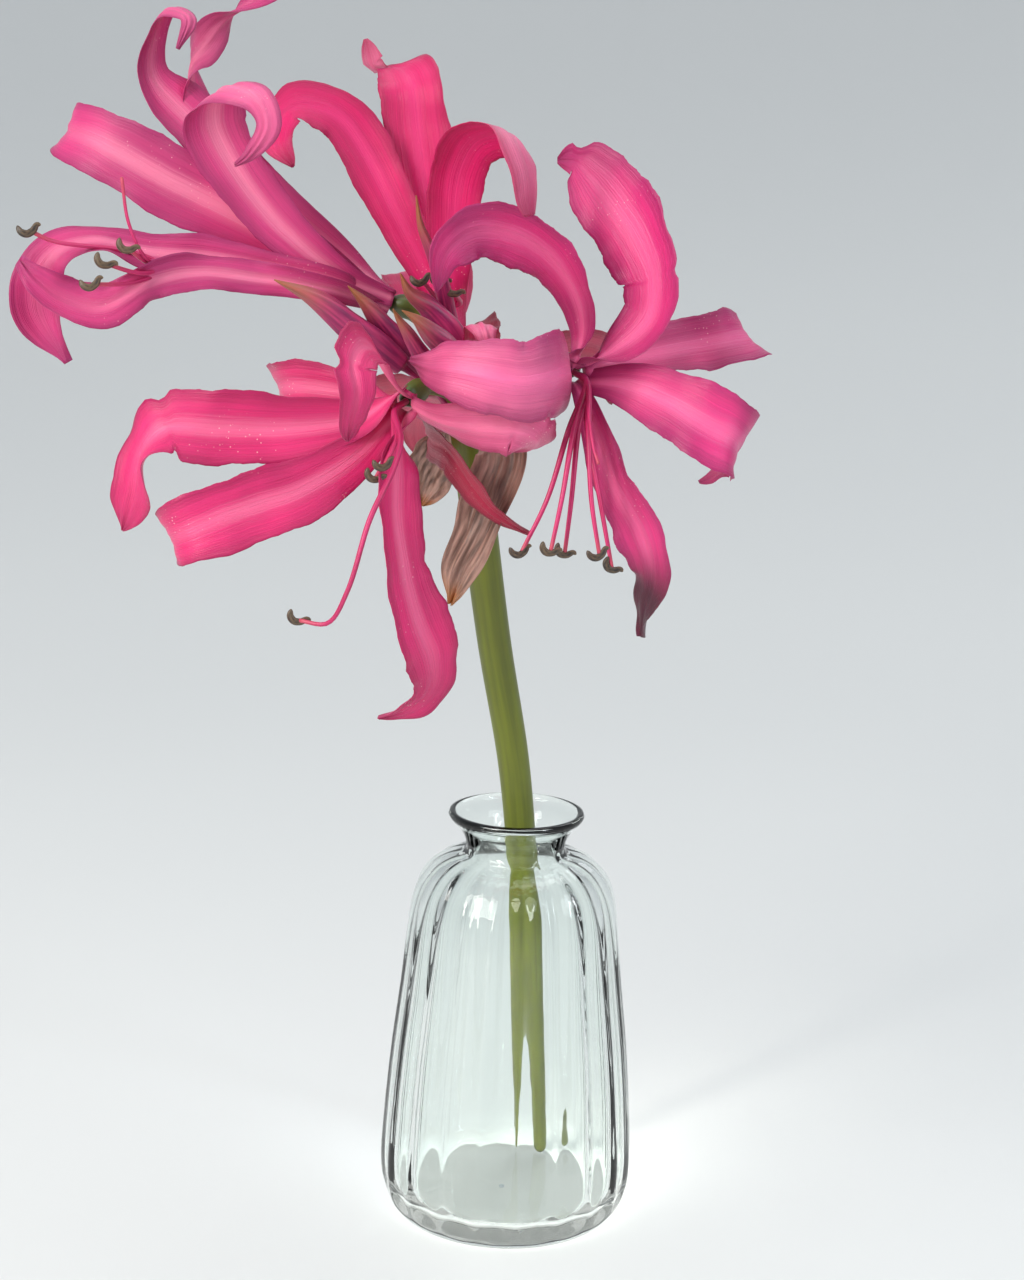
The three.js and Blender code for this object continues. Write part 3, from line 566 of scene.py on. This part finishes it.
def streaked_group():
    """Plant skin streaked along its length: two colours mixed by stretched noise and flecks."""
    tree, given, result = new_group("Streaked skin", [
        ("Light", COLOUR, (0.3, 0.35, 0.05, 1)), ("Dark", COLOUR, (0.12, 0.15, 0.02, 1)),
        ("End", COLOUR, (0.3, 0.2, 0.05, 1)), ("Streaks", NUMBER, 16.0), ("End start", NUMBER, 0.9)],
        [("Color", COLOUR), ("Roughness", NUMBER), ("Height", NUMBER)])
    across, along = split_uv(tree)
    place = object_place(tree)
    lines = noise(tree, combined(tree, maths(tree, "MULTIPLY", across, given["Streaks"]),
        maths(tree, "MULTIPLY", along, 5.0)), 1.0, 5, 0.2)
    slow = noise(tree, place, 55, 3, 0.5)
    factor = ramp(tree, maths(tree, "MULTIPLY_ADD", lines, 0.65, maths(tree, "MULTIPLY", slow, 0.35)),
        0.32, 0.68)
    colour = blend(tree, factor, given["Dark"], given["Light"])
    uneven = ramp(tree, slow, 0.2, 0.6, 0.6, 1.0)
    end = maths(tree, "MULTIPLY", ramp(tree, along, given["End start"], 1.0), uneven)
    colour = blend(tree, end, colour, given["End"])
    link(tree, colour, result["Color"])
    link(tree, maths(tree, "MULTIPLY_ADD", lines, 0.25, 0.28), result["Roughness"])
    link(tree, maths(tree, "ADD", lines, maths(tree, "MULTIPLY", noise(tree, place, 1800, 2), 0.15)),
        result["Height"])
    return tree


def streaked_material(name, group, light, dark, end, streaks, end_start, relief):
    """A streaked skin's material: its two colours, the colour of its end and how fine it is."""
    material, tree, shader = new_material(name, light)
    outputs = use_group(tree, group, {"Light": (*light, 1), "Dark": (*dark, 1), "End": (*end, 1),
        "Streaks": streaks, "End start": end_start})
    tree.links.new(outputs["Color"], shader.inputs["Base Color"])
    tree.links.new(outputs["Roughness"], shader.inputs["Roughness"])
    bump(tree, outputs["Height"], shader, 0.4, relief)
    shader.inputs["Subsurface Weight"].default_value = 0.08
    shader.inputs["Subsurface Scale"].default_value = 0.001
    return material


def glass_material(tint):
    """Clear glass with a faint green tint and slow ripples in its surface."""
    material, tree, shader = new_material("Bottle glass", tint)
    shader.inputs["Base Color"].default_value = (*tint, 1)
    shader.inputs["Transmission Weight"].default_value = 1.0
    shader.inputs["IOR"].default_value = 1.5
    shader.inputs["Roughness"].default_value = 0.02
    ripple = noise(tree, object_place(tree), 70, 2)
    bump(tree, ripple, shader, 0.25, 0.0006)
    return material


def skin_group(maker, name):
    """The named shader group, made the first time that it is asked for."""
    return bpy.data.node_groups.get(name) or maker()


# ---------------------------------------------------------------- settings
def colour_property(name, description, default):
    """A colour setting, as red, green and blue from 0 to 1."""
    return bpy.props.FloatVectorProperty(name=name, description=description, default=default,
        subtype="COLOR", size=3, min=0, max=1)


class NERINE_PG_bottle(bpy.types.PropertyGroup):
    """The bottle's sizes and tint."""

    flutes: bpy.props.IntProperty(name="Flutes", description="Concave panels round the bottle",
        default=20, min=8, max=40)
    flute_depth: bpy.props.FloatProperty(name="Flute depth", description="How far a panel is cut in",
        default=0.75 * MM, min=0, max=3 * MM, unit="LENGTH")
    tint: colour_property("Glass tint", "The colour that the glass gives to light", (0.93, 0.975, 0.955))


class NERINE_PG_flowers(bpy.types.PropertyGroup):
    """The tepals' sizes and the flowers' colours."""

    thickness: bpy.props.FloatProperty(name="Tepal thickness", description="Thickness on the midrib",
        default=0.55 * MM, min=0.2 * MM, max=1 * MM, unit="LENGTH")
    cup: bpy.props.FloatProperty(name="Cup", description="How far a tepal's edges rise, as a share",
        default=0.2, min=0, max=1, subtype="FACTOR")
    ruffle: bpy.props.FloatProperty(name="Ruffle", description="Strength of the waves on the edges",
        default=1.0, min=0, max=3)
    dusky: colour_property("Dusky flower", "Flesh of the upper left flower", (0.64, 0.04, 0.2))
    crimson: colour_property("Crimson flower", "Flesh of the flower at the back", (0.74, 0.006, 0.15))
    magenta: colour_property("Magenta flower", "Flesh of the flower on the right", (0.7, 0.03, 0.2))
    rose: colour_property("Rose flower", "Flesh of the front flower", (0.74, 0.022, 0.17))
    # The back flower's flesh is a darker copy of the crimson: painted shade on the flower that faces away.
    deep: colour_property("Shaded flower", "Flesh of the flower that faces away", (0.42, 0.006, 0.05))
    stalk: colour_property("Stalk", "The flower stalk's light green", (0.14, 0.165, 0.008))


class NERINE_PG_stage(bpy.types.PropertyGroup):
    """The floor's colour and the lights' strength."""

    floor: colour_property("Floor", "The plain pale floor", (0.7, 0.715, 0.715))
    key_power: bpy.props.FloatProperty(name="Key light", description="Power of the large soft light",
        default=9.5, min=0, unit="POWER")


# ---------------------------------------------------------------- bottle
class NERINE_OT_bottle(bpy.types.Operator):
    """Make the fluted glass bottle"""

    bl_idname = "nerine.bottle"
    bl_label = "Glass bottle"

    def execute(self, context):
        settings = context.scene.nerine_bottle
        around = settings.flutes * 16
        outside = spline([(r, 0, z) for r, z in BOTTLE_OUTSIDE], 150)
        inside = spline([(r, 0, z) for r, z in BOTTLE_INSIDE], 90)
        outline = np.vstack([outside, inside])
        radius, height = np.maximum(outline[:, :1], 0.01), np.clip(outline[:, 2:3], 0, None)
        angle = RIDGE_ANGLE + np.linspace(0, 2 * math.pi, around, endpoint=False)[None, :]
        fade = smoothstep(1, 9, height) * (1 - smoothstep(89.5, 91, height))
        inner = (np.arange(len(outline)) >= len(outside))[:, None]
        fade = np.where(inner, 0.6 * smoothstep(8, 14, height) * (1 - smoothstep(80, 88, height)), fade)
        radius = radius - fade * panel_depth(angle, settings.flutes, settings.flute_depth / MM)
        grid = np.stack([radius * np.cos(angle), radius * np.sin(angle), height + 0 * angle], axis=-1)
        share_up = np.linspace(0, 1, len(outline))[:, None]
        uv = np.stack([angle / math.pi + 0 * share_up, share_up + 0 * angle], axis=-1)
        glass = glass_material(tuple(settings.tint))
        piece = mesh_piece("bottle", grid, uv, [glass], ["glass_bottle"])
        piece.visible_shadow = False
        return {"FINISHED"}


def panel_depth(angle, flutes, depth):
    """depth |sin(flutes (angle - ridge) / 2)|^1.5: nothing on a ridge, deepest between two."""
    return depth * np.abs(np.sin(0.5 * flutes * (angle - RIDGE_ANGLE))) ** 1.5


# ---------------------------------------------------------------- stalks
def umbel_point(degrees, radius, lift):
    """A point on a circle round the top of the flower stalk."""
    angle = math.radians(degrees)
    return UMBEL + (radius * math.cos(angle), radius * math.sin(angle), lift)


def throat_axes(flower):
    """The throat's heading, a direction across it, and one square to both."""
    heading = unit(flower["heading"])
    reference = (0, 0, 1) if abs(heading[2]) < 0.9 else (0, 1, 0)
    first = unit(np.cross(heading, reference))
    return heading, first, np.cross(heading, first)


class NERINE_OT_stalk(bpy.types.Operator):
    """Make the flower stalk, cut flat at its foot and domed where the pedicels leave it"""

    bl_idname = "nerine.stalk"
    bl_label = "Flower stalk"

    def execute(self, context):
        light = tuple(context.scene.nerine_flowers.stalk)
        dark = tuple(0.62 * c for c in light)
        skin = skin_group(streaked_group, "Streaked skin")
        green = streaked_material("Stalk skin", skin, light, dark, (0.16, 0.08, 0.03), 7.0, 0.97, 0.0001)
        path = SCAPE[:-1] + [tuple(UMBEL), tuple(UMBEL + (-0.3, -0.2, 1.6))]

        def radius(s):
            """3.5 mm growing to 3.9, closing to a point in a quarter circle over the last 1.5%."""
            dome = np.sqrt(np.clip(1 - smoothstep(0.985, 1.0, s) ** 2, 0.02, 1))
            return (3.5 + 0.4 * smoothstep(0.3, 1, s)) * dome

        grid, uv = rod_grid(path, radius, 260, 48, lobes=2, lobe_depth=0.012)
        mesh_piece("flower_stalk", grid, uv, [green], ["scape"])
        return {"FINISHED"}


class NERINE_OT_pedicels(bpy.types.Operator):
    """Make the pedicels, each ending in a three-lobed ovary below its flower"""

    bl_idname = "nerine.pedicels"
    bl_label = "Pedicels"

    def execute(self, context):
        skin = skin_group(streaked_group, "Streaked skin")
        green = streaked_material("Pedicel skin", skin, (0.2, 0.22, 0.03), (0.07, 0.06, 0.02),
            (0.05, 0.09, 0.02), 8.0, 0.7, 0.00015)
        outline = [(0, 1.15), (0.3, 0.95), (0.6, 1.0), (0.7, 1.4), (0.8, 2.4), (0.9, 2.5), (0.97, 1.9),
            (1, 1.2)]
        for letter, flower in FLOWERS.items():
            heading, _, _ = throat_axes(flower)
            throat = np.array(flower["throat"], float)
            path = [umbel_point(flower["ring"], PEDICEL_RING, 0.2), umbel_point(flower["ring"],
                1.5 * PEDICEL_RING, 6), throat - OVARY_LENGTH * heading, throat - 0.2 * heading]
            rows, _ = rod_grid(path, lambda s: share(outline, s), 70, 36)
            lobes = smoothstep(0.68, 0.8, np.linspace(0, 1, 70))[:, None, None]
            lobed, uv = rod_grid(path, lambda s: share(outline, s), 70, 36, lobes=3, lobe_depth=0.1)
            grid = rows + lobes * (lobed - rows)
            mesh_piece(f"pedicel_{letter}_skin", grid, uv, [green], [f"pedicel_{letter}"])
        return {"FINISHED"}


# ---------------------------------------------------------------- tepals
def tepal_grid(flower, tepal, settings, rng, rows=110, columns=22):
    """A tepal's closed surface, with its uv and its masks.

    With s along the blade and t from -1 to 1 across it, the middle surface is the path
    + side (half t) + out (cup half t^2 + ruffle |t|^2.5 sin(2 pi waves s + phase) + pleats), half
    being half the width and the pleats 0.14 cos(3.2 pi t + phase) (1 - t^2). The edges vary in reach
    by 5 per cent in slow waves and 2.5 per cent in small nicks. The skins lie
    thickness (1 - t^2)^0.5 / 2 either side of it along out.
    """
    heading, first, second = throat_axes(flower)
    angle = math.radians(flower["turn"] + 60 * tepal["seat"])
    radial = first * math.cos(angle) + second * math.sin(angle)
    seat = np.array(flower["throat"]) + THROAT_RING * radial
    twist = tepal["path"][0][3]
    path = [(*seat, twist), (*(seat + TUBE_LENGTH * heading), twist), *tepal["path"]]
    places = spline(path, rows)
    middle = places[:, :3]
    s = np.linspace(0, 1, rows)
    along, side, out = carried(middle, tepal.get("across", (0, 1, 0)))
    side, out = turned(side, out, np.radians(places[:, 3]))
    tangent = np.cross(heading, radial)
    tangent = tangent * (1 if np.dot(tangent, side[0]) >= 0 else -1)
    ease = smoothstep(0, 0.2, s)[:, None]
    side = unit(side * ease + tangent * (1 - ease))
    side = unit(side - along * np.sum(side * along, axis=1, keepdims=True))
    out = np.cross(along, side)
    length = np.linalg.norm(np.diff(middle, axis=0), axis=1).sum()
    bend = np.abs(np.sum(np.gradient(along, length / (rows - 1), axis=0) * side, axis=1))
    half = 0.5 * tepal["width"] * share(tepal.get("shape", STRAP), s)
    half = np.minimum(half, BEND_ROOM / np.maximum(bend, 0.01))[:, None]
    t = np.linspace(-1, 1, columns)[None, :]
    phase = rng.uniform(0, 2 * math.pi, 4)
    waves = rng.uniform(2.2, 3.4)
    edge = np.abs(t) ** 2.5 * smoothstep(0.1, 0.5, s)[:, None]
    right = (t > 0) * 2.3
    wave = np.sin(2 * math.pi * waves * s[:, None] + phase[0] + right)
    fine = np.sin(2 * math.pi * 3.1 * waves * s[:, None] + phase[1] + 1.7 * right)
    ruffle = tepal["ruffle"] * settings.ruffle * edge * (wave + 0.45 * fine)
    pleats = 0.14 * np.cos(3.2 * math.pi * t + phase[3]) * (1 - t * t) * smoothstep(0.1, 0.4, s)[:, None]
    drift = 1.3 * np.sin(11 * s[:, None] + phase[1] + right)
    nicks = np.sin(2 * math.pi * 4.3 * waves * s[:, None] + 2 * phase[2] + 2 * drift) ** 5
    groove = -0.25 * np.exp(-((t / 0.1) ** 2)) * smoothstep(0, 0.15, s)[:, None]
    uneven = np.sin(2 * math.pi * 4 * s[:, None] + phase[2] + right)
    reach = half * t * (1 + edge * (0.05 * uneven + 0.025 * nicks))
    rise = settings.cup * half * t * t + ruffle + groove + pleats
    thin = 0.5 * settings.thickness / MM * np.sqrt(np.clip(1 - t * t, 0.06, 1)) + 0 * half
    base = middle[:, None] + side[:, None] * reach[..., None]
    front = base + out[:, None] * (rise + thin)[..., None]
    back = base + out[:, None] * (rise - thin)[..., None]
    grid = np.concatenate([front, back[:, ::-1]], axis=1)
    u = np.concatenate([0.5 + 0.5 * t, 0.5 + 0.5 * t[:, ::-1]], axis=1) + 0 * s[:, None]
    uv = np.stack([u, s[:, None] + 0 * u], axis=-1)
    outside = np.concatenate([np.zeros_like(reach), np.ones_like(reach)], axis=1)
    wither = tepal.get("withered", 0) * smoothstep(0.6, 0.82, s)[:, None] + 0 * u
    return grid, uv, {"outside": outside, "wither": wither}


class NERINE_OT_tepals(bpy.types.Operator):
    """Make every flower's six tepals, each a separate piece"""

    bl_idname = "nerine.tepals"
    bl_label = "Tepals"

    def execute(self, context):
        settings = context.scene.nerine_flowers
        rng = np.random.default_rng(7)
        skin = skin_group(tepal_skin_group, "Petal skin")
        looks = {
            "a": (settings.dusky, (0.92, 0.26, 0.42), (0.26, 0.012, 0.1), (0.8, 0.15, 0.33),
                {"Stripe width": 0.5, "Stripe strength": 0.65, "Veins": 0.3, "Blotches": 0.45}),
            "b": (settings.crimson, (0.92, 0.05, 0.26), (0.32, 0.002, 0.06), (0.88, 0.3, 0.48),
                {"Stripe width": 0.4, "Stripe strength": 0.4, "Veins": 0.3, "Blotches": 0.35}),
            "c": (settings.magenta, (0.94, 0.16, 0.38), (0.27, 0.012, 0.1), (0.8, 0.2, 0.36),
                {"Stripe width": 0.5, "Stripe strength": 0.6, "Veins": 0.32, "Blotches": 0.55}),
            # The front flower carries the most pale specks painted as glints.
            "d": (settings.rose, (0.94, 0.2, 0.38), (0.3, 0.004, 0.07), (0.82, 0.2, 0.38),
                {"Stripe width": 0.45, "Stripe strength": 0.55, "Veins": 0.3, "Glint specks": 0.6}),
            # Flower e's colours are darker copies of the crimson ones: painted shade on the flower that
            # faces away.
            "e": (settings.deep, (0.6, 0.02, 0.08), (0.16, 0.003, 0.02), (0.6, 0.08, 0.16),
                {"Stripe width": 0.3, "Stripe strength": 0.3, "Veins": 0.3}),
        }
        for letter, flower in FLOWERS.items():
            flesh, stripe, margin, outer, values = looks[letter]
            material = tepal_material(f"Petal {SLOTS[letter][6:]}", skin, tuple(flesh), stripe, margin,
                outer, values)
            for number, tepal in enumerate(flower["tepals"], 1):
                grid, uv, masks = tepal_grid(flower, tepal, settings, rng)
                name = f"tepal_{letter}{number}"
                mesh_piece(f"{name}_blade", grid, uv, [material], [name], masks=masks)
        return {"FINISHED"}


# ---------------------------------------------------------------- stamens
def anther_part(tip, lean):
    """A bent two-lobed anther lying across a filament's tip."""
    tip = np.array(tip, float)
    across = np.array([math.cos(lean), 0.25, math.sin(lean)])
    droop = np.array([-math.sin(lean), 0.1, math.cos(lean)])
    bends = [(-1.9, 1.9), (-1.7, 0.5), (-0.8, -0.3), (0.5, -0.2), (1.7, 0.6), (2.4, 0.3)]
    path = [tip + a * across + b * droop for a, b in bends]
    outline = [(0, 0.1), (0.08, 0.4), (0.3, 0.62), (0.7, 0.58), (0.92, 0.4), (1, 0.1)]
    return rod_grid(path, lambda s: share(outline, s), 30, 14, lobes=2, lobe_depth=0.25)


class NERINE_OT_stamens(bpy.types.Operator):
    """Make every flower's filaments, anthers and style"""

    bl_idname = "nerine.stamens"
    bl_label = "Stamens"

    def execute(self, context):
        skin = skin_group(streaked_group, "Streaked skin")
        filament = streaked_material("Filament", skin, (0.62, 0.03, 0.16), (0.34, 0.008, 0.07),
            (0.5, 0.06, 0.1), 5.0, 0.9, 0.0001)
        anther = streaked_material("Anther", skin, (0.14, 0.09, 0.05), (0.012, 0.008, 0.01),
            (0.2, 0.15, 0.08), 4.0, 0.92, 0.0003)
        for letter, flower in FLOWERS.items():
            heading, _, _ = throat_axes(flower)
            root = np.array(flower["throat"], float)
            neck = root + 3 * TUBE_LENGTH * heading
            parts = []
            for number, path in enumerate(flower["stamens"]):
                rod = rod_grid([root, neck, *path], lambda s: 0.75 - 0.32 * s, 60, 10)
                parts.append((*rod, 0))
                parts.append((*anther_part(path[-1], 0.5 * math.sin(2.4 * number + 1)), 1))
            if "style" in flower:
                rod = rod_grid([root, neck, *flower["style"]], lambda s: 0.45 - 0.12 * s, 60, 10)
                parts.append((*rod, 0))
            joined_piece(f"stamens_{letter}_set", parts, [filament, anther],
                [f"stamens_{letter}"])
        return {"FINISHED"}


# ---------------------------------------------------------------- buds and spathes
class NERINE_OT_buds(bpy.types.Operator):
    """Make the slim pointed buds on their fine stalks"""

    bl_idname = "nerine.buds"
    bl_label = "Buds"

    def execute(self, context):
        skin = skin_group(streaked_group, "Streaked skin")
        purple = streaked_material("Bud skin", skin, (0.5, 0.035, 0.15), (0.15, 0.01, 0.07),
            (0.3, 0.11, 0.03), 9.0, 0.72, 0.0003)
        for number, (radius, ring, path) in enumerate(BUDS, 1):
            outline = [(0, 0.5), (0.3, 0.5), (0.42, 0.7 * radius), (0.58, radius), (0.75, 0.8 * radius),
                (0.92, 0.3 * radius), (1, 0.12)]
            grid, uv = rod_grid([umbel_point(ring, BUD_RING, 0.3), *path], lambda s: share(outline, s),
                110, 36, lobes=3, lobe_depth=0.13, spin=2.5)
            mesh_piece(f"bud_{number}_skin", grid, uv, [purple], [f"bud_{number}"])
        return {"FINISHED"}


def spathe_grid(width, path, seed, rows=120, columns=40):
    """A papery bract: a strip whose out height is cup half t^2 plus creases that run along it.

    The creases are sin(k t + drift(s)) at three widths of k, largest near the tip.
    """
    places = spline(path, rows)
    s = np.linspace(0, 1, rows)[:, None]
    t = np.linspace(-1, 1, columns)[None, :]
    _, side, out = carried(places[:, :3], (0, 1, 0))
    half = 0.5 * width * share(BROAD_BASE, s[:, 0])[:, None]
    creases = 0.35 * np.sin(7 * t + 3 * s + seed) + 0.2 * np.sin(13 * t - 5 * s + 2 * seed)
    creases = creases + 0.12 * np.sin(23 * t + 9 * s * s + seed) + 0.25 * np.sin(9 * s + 4 * t * s + seed)
    rise = 0.35 * half * t * t + creases * smoothstep(0, 0.25, s)
    reach = half * t * (1 + 0.06 * np.sin(17 * s + 2 * (t > 0)))
    base = places[:, None, :3] + side[:, None] * reach[..., None]
    thin = 0.12 * np.sqrt(np.clip(1 - t * t, 0.1, 1)) + 0 * s
    front = base + out[:, None] * (rise + thin)[..., None]
    back = base + out[:, None] * (rise - thin)[..., None]
    grid = np.concatenate([front, back[:, ::-1]], axis=1)
    u = np.concatenate([0.5 + 0.5 * t, 0.5 + 0.5 * t[:, ::-1]], axis=1) + 0 * s
    return grid, np.stack([u, s + 0 * u], axis=-1)


class NERINE_OT_spathes(bpy.types.Operator):
    """Make the two papery bracts under the umbel"""

    bl_idname = "nerine.spathes"
    bl_label = "Spathes"

    def execute(self, context):
        skin = skin_group(streaked_group, "Streaked skin")
        paper = streaked_material("Papery bract", skin, (0.5, 0.3, 0.24), (0.1, 0.05, 0.035),
            (0.36, 0.13, 0.03), 12.0, 0.82, 0.0004)
        for number, (width, path) in enumerate(SPATHES, 1):
            grid, uv = spathe_grid(width, path, 1.3 * number)
            mesh_piece(f"spathe_{number}_sheet", grid, uv, [paper], [f"spathe_{number}"])
        return {"FINISHED"}


# ---------------------------------------------------------------- stage
def soft_light(name, place, target, size, power, colour):
    """A square area light at a place, turned to its target."""
    data = bpy.data.lights.new(name, "AREA")
    data.shape = "RECTANGLE"
    data.size, data.size_y = size
    data.energy = power
    data.color = colour
    lamp = bpy.data.objects.new(name, data)
    bpy.context.scene.collection.objects.link(lamp)
    lamp.location = place
    aim = np.array(target) - np.array(place)
    tilt = math.acos(-aim[2] / np.linalg.norm(aim))
    lamp.rotation_euler = (tilt, 0, math.atan2(aim[0], -aim[1]) + math.pi)
    lamp.visible_camera = False
    return lamp


class NERINE_OT_stage(bpy.types.Operator):
    """Make the pale floor, the soft lights and the camera"""

    bl_idname = "nerine.stage"
    bl_label = "Stage"

    def execute(self, context):
        settings = context.scene.nerine_stage
        material, _, shader = new_material("Pale floor", tuple(settings.floor))
        shader.inputs["Base Color"].default_value = (*settings.floor, 1)
        shader.inputs["Roughness"].default_value = 0.55
        outline = spline([(0.001, 0, 0), (0.35, 0, 0), (0.7, 0, 0.02), (1.2, 0, 0.14), (1.7, 0, 0.42),
            (2.0, 0, 0.9), (2.1, 0, 1.4)], 60)
        angle = np.linspace(0, 2 * math.pi, 96, endpoint=False)[None, :]
        radius, height = outline[:, :1], np.clip(outline[:, 2:3], 0, None)
        grid = np.stack([radius * np.cos(angle), radius * np.sin(angle), height + 0 * angle], axis=-1)
        mesh = bpy.data.meshes.new("floor")
        mesh.from_pydata(grid.reshape(-1, 3).tolist(), [], tube_faces(60, 96)[:, ::-1].tolist())
        mesh.polygons.foreach_set("use_smooth", np.ones(len(mesh.polygons), bool))
        mesh.materials.append(material)
        floor = bpy.data.objects.new("floor", mesh)
        context.scene.collection.objects.link(floor)
        middle = (0, 0, 0.18)
        power = settings.key_power
        soft_light("key", (-0.75, -0.75, 0.95), middle, (0.7, 0.7), power, (1.0, 0.97, 0.92))
        soft_light("top", (0.1, 0.15, 1.3), middle, (0.9, 0.9), 0.45 * power, (1.0, 0.99, 0.96))
        soft_light("fill", (1.1, -0.75, 1.1), middle, (0.7, 0.7), 0.4 * power, (0.9, 0.95, 1.0))
        soft_light("left pane", (-0.5, -0.62, 0.42), (0, 0, 0.06), (0.09, 0.4), 0.3 * power,
            (1.0, 0.95, 0.86))
        soft_light("right pane", (0.6, -0.5, 0.42), (0, 0, 0.05), (0.06, 0.45), 0.1 * power,
            (0.88, 0.94, 1.0))
        soft_light("back", (0.7, 1.0, 1.25), middle, (0.7, 0.7), 0.3 * power, (0.95, 0.98, 1.0))
        world = bpy.data.worlds.new("Soft day")
        world.use_nodes = True
        world.node_tree.nodes["Background"].inputs["Color"].default_value = (0.86, 0.92, 1.0, 1)
        world.node_tree.nodes["Background"].inputs["Strength"].default_value = 0.48
        context.scene.world = world
        camera = bpy.data.cameras.new("camera")
        camera.sensor_width = 36
        camera.lens = 63.28
        camera.clip_start = 0.01
        view = bpy.data.objects.new("camera", camera)
        context.scene.collection.objects.link(view)
        view.location = (-0.0024, -0.518, 0.2527)
        tilt, roll = math.radians(77.97), math.radians(1.8)
        view.rotation_mode = "QUATERNION"
        view.rotation_quaternion = camera_turn(tilt, roll)
        context.scene.camera = view
        context.scene.view_settings.view_transform = "Standard"
        return {"FINISHED"}


def camera_turn(tilt, roll):
    """A turn by tilt about X after a turn by roll about the view's own axis."""
    return Quaternion((1, 0, 0), tilt) @ Quaternion((0, 0, 1), roll)


# ---------------------------------------------------------------- panel and registration
OPERATORS = (NERINE_OT_bottle, NERINE_OT_stalk, NERINE_OT_pedicels, NERINE_OT_tepals,
    NERINE_OT_stamens, NERINE_OT_buds, NERINE_OT_spathes, NERINE_OT_stage)
SETTINGS = {"nerine_bottle": NERINE_PG_bottle, "nerine_flowers": NERINE_PG_flowers,
    "nerine_stage": NERINE_PG_stage}


class NERINE_PT_panel(bpy.types.Panel):
    """Lists the settings and the pieces"""

    bl_idname = "NERINE_PT_panel"
    bl_label = "Nerine"
    bl_space_type = "VIEW_3D"
    bl_region_type = "UI"
    bl_category = "Nerine"

    def draw(self, context):
        for label, kind in SETTINGS.items():
            box = self.layout.box()
            for name in kind.__annotations__:
                box.prop(getattr(context.scene, label), name)
        for operator in OPERATORS:
            self.layout.operator(operator.bl_idname)


def register():
    for kind in (*SETTINGS.values(), *OPERATORS, NERINE_PT_panel):
        bpy.utils.register_class(kind)
    for label, kind in SETTINGS.items():
        setattr(bpy.types.Scene, label, bpy.props.PointerProperty(type=kind))


def unregister():
    for label in SETTINGS:
        delattr(bpy.types.Scene, label)
    for kind in (NERINE_PT_panel, *OPERATORS[::-1], *SETTINGS.values()):
        bpy.utils.unregister_class(kind)


def main():
    """Registers the add-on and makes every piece."""
    register()
    bpy.ops.nerine.bottle()
    bpy.ops.nerine.stalk()
    bpy.ops.nerine.pedicels()
    bpy.ops.nerine.tepals()
    bpy.ops.nerine.stamens()
    bpy.ops.nerine.buds()
    bpy.ops.nerine.spathes()
    bpy.ops.nerine.stage()


if __name__ == "__main__":
    main()
